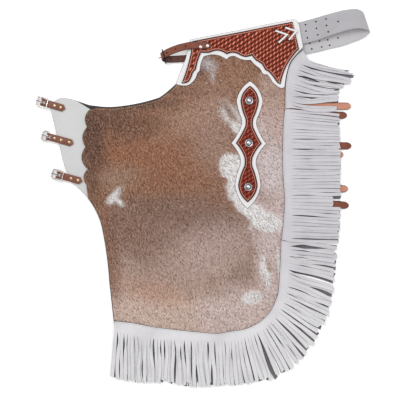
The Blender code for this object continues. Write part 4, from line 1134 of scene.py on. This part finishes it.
def fittings():
    radius, rise = CONCHO_SIZE
    profile = [(radius, 0), (radius * 1.0, 0.7), (radius * 0.95, 1.2), (radius * 0.86, 1.1), (radius * 0.8, 0.9),
               (radius * 0.74, 1.5), (radius * 0.62, 2.6), (radius * 0.48, 3.5), (radius * 0.36, 3.9),
               (radius * 0.31, 3.7), (radius * 0.24, 4.2), (radius * 0.12, rise), (0, rise + 0.1)]
    for name, x, y in CONCHOS:
        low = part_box(name)[0][2]
        dome("round_" + name, x, y, low, profile, 48, CONCHO, name, petals)
    cap = [(1, 0), (1, 0.3), (0.86, 0.62), (0.6, 0.86), (0.3, 0.97), (0, 1)]
    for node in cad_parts:
        if "rivet" in node:
            low, high = (Vector(corner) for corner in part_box(node))
            middle = ((low + high) / 2 - CENTRE) / MM
            wide, tall = (high.x - low.x) / 2 / MM, (high.z - low.z) / MM
            look = SILVER if node.startswith("waist") else BRASS
            dome("head_" + node, middle.x, middle.y, low.z, [(r * wide, h * tall) for r, h in cap], 20, look,
                 node)


def sewing():
    yoke_line = inset(YOKE_POINTS, SEWN_AT * MM)
    ornament_line = inset(ORNAMENT_POINTS, SEWN_AT * MM)
    stitches("tooled_stitches", [(yoke_line, True, ON_YOKE), (ornament_line, True, ON_ORNAMENT)], LIGHT_THREAD,
             5.6, 2.1, 1.15)
    crotch = inset(bowed(HIDE_TOP[3:] + UPPER_CORNER, closed=False), 4.2 * MM, closed=False)
    over_hair = lambda x, y: ON_HIDE(x, y) + HAIR_DEPTH
    stitches("crotch_stitches", [(crotch, False, over_hair)], TAN_THREAD, 5.4, 1.9, 0.75)
    pale_runs = []
    top = above(upper_hide, HIDE, STRIP)
    for _, rows, *_ in FRINGES:
        path = []
        for step in range(61):
            row = through(rows, step / 60)
            inner, outer = Vector(row[0:2]), Vector(row[2:4])
            path.append((inner + (outer - inner).normalized() * 4.0) * MM)
        pale_runs.append((path, False, lambda x, y: top(x, y) + SEAT - GAP))
    stitches("strip_stitches", pale_runs, GREY_THREAD)


def dress_metal():
    for node, thing in ((name, bpy.data.objects[name]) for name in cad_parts):
        if "buckle_frame" in node or "buckle_prong" in node or "lower_buckle" in node or node.startswith("waist_"):
            if thing.hide_render:
                continue
            look = BLACK_METAL if node.startswith("waist") else DARK_NICKEL if "prong" in node else NICKEL
            for material_slot in thing.material_slots:
                material_slot.material = look
            if not thing.material_slots:
                thing.data.materials.append(look)


def studio():
    bm = bmesh.new()
    bmesh.ops.create_grid(bm, x_segments=4, y_segments=4, size=6.0)
    bmesh.ops.translate(bm, verts=bm.verts, vec=(0, 0, -0.0006))
    mesh = bpy.data.meshes.new("studio_floor")
    bm.to_mesh(mesh)
    bm.free()
    floor = bpy.data.objects.new("studio_floor", mesh)
    bpy.context.scene.collection.objects.link(floor)
    look = Look("studio_white")
    soft = look.noise(0.4, 2.0)
    mesh.materials.append(look.done(look.mix(soft, (0.90, 0.90, 0.90, 1), (0.92, 0.92, 0.92, 1)), 0.9,
                                    Emission_Color=(1, 1, 1, 1), Emission_Strength=0.3))
    world = bpy.data.worlds.new("studio")
    bpy.context.scene.world = world
    world.use_nodes = True
    world.node_tree.nodes["Background"].inputs["Color"].default_value = (1, 1, 1, 1)
    world.node_tree.nodes["Background"].inputs["Strength"].default_value = 0.55
    for place, power, size in (((-1.6, 1.8, 3.0), 62, 2.2), ((1.8, 0.4, 3.0), 26, 3.0)):
        lamp = bpy.data.lights.new("softbox", "AREA")
        lamp.energy = power
        lamp.size = size
        stand = bpy.data.objects.new("softbox", lamp)
        stand.location = place
        stand.rotation_euler = (-Vector(place)).to_track_quat("-Z", "Y").to_euler()
        bpy.context.scene.collection.objects.link(stand)
    bpy.context.scene.view_settings.view_transform = "Standard"


def camera():
    """Straight above the lay: 1.1 m of floor across the picture."""
    lens = bpy.data.cameras.new("camera")
    lens.lens, lens.sensor_width = 100, 36
    eye = bpy.data.objects.new("camera", lens)
    eye.location = (-0.0067, -0.0034, 1.1 * 100 / 36)
    bpy.context.scene.collection.objects.link(eye)
    bpy.context.scene.camera = eye


camera()
studio()
hides()
flaps()
yokes()
ornaments()
fringes()
straps()
belts()
thongs()
tabs()
fittings()
sewing()
dress_metal()
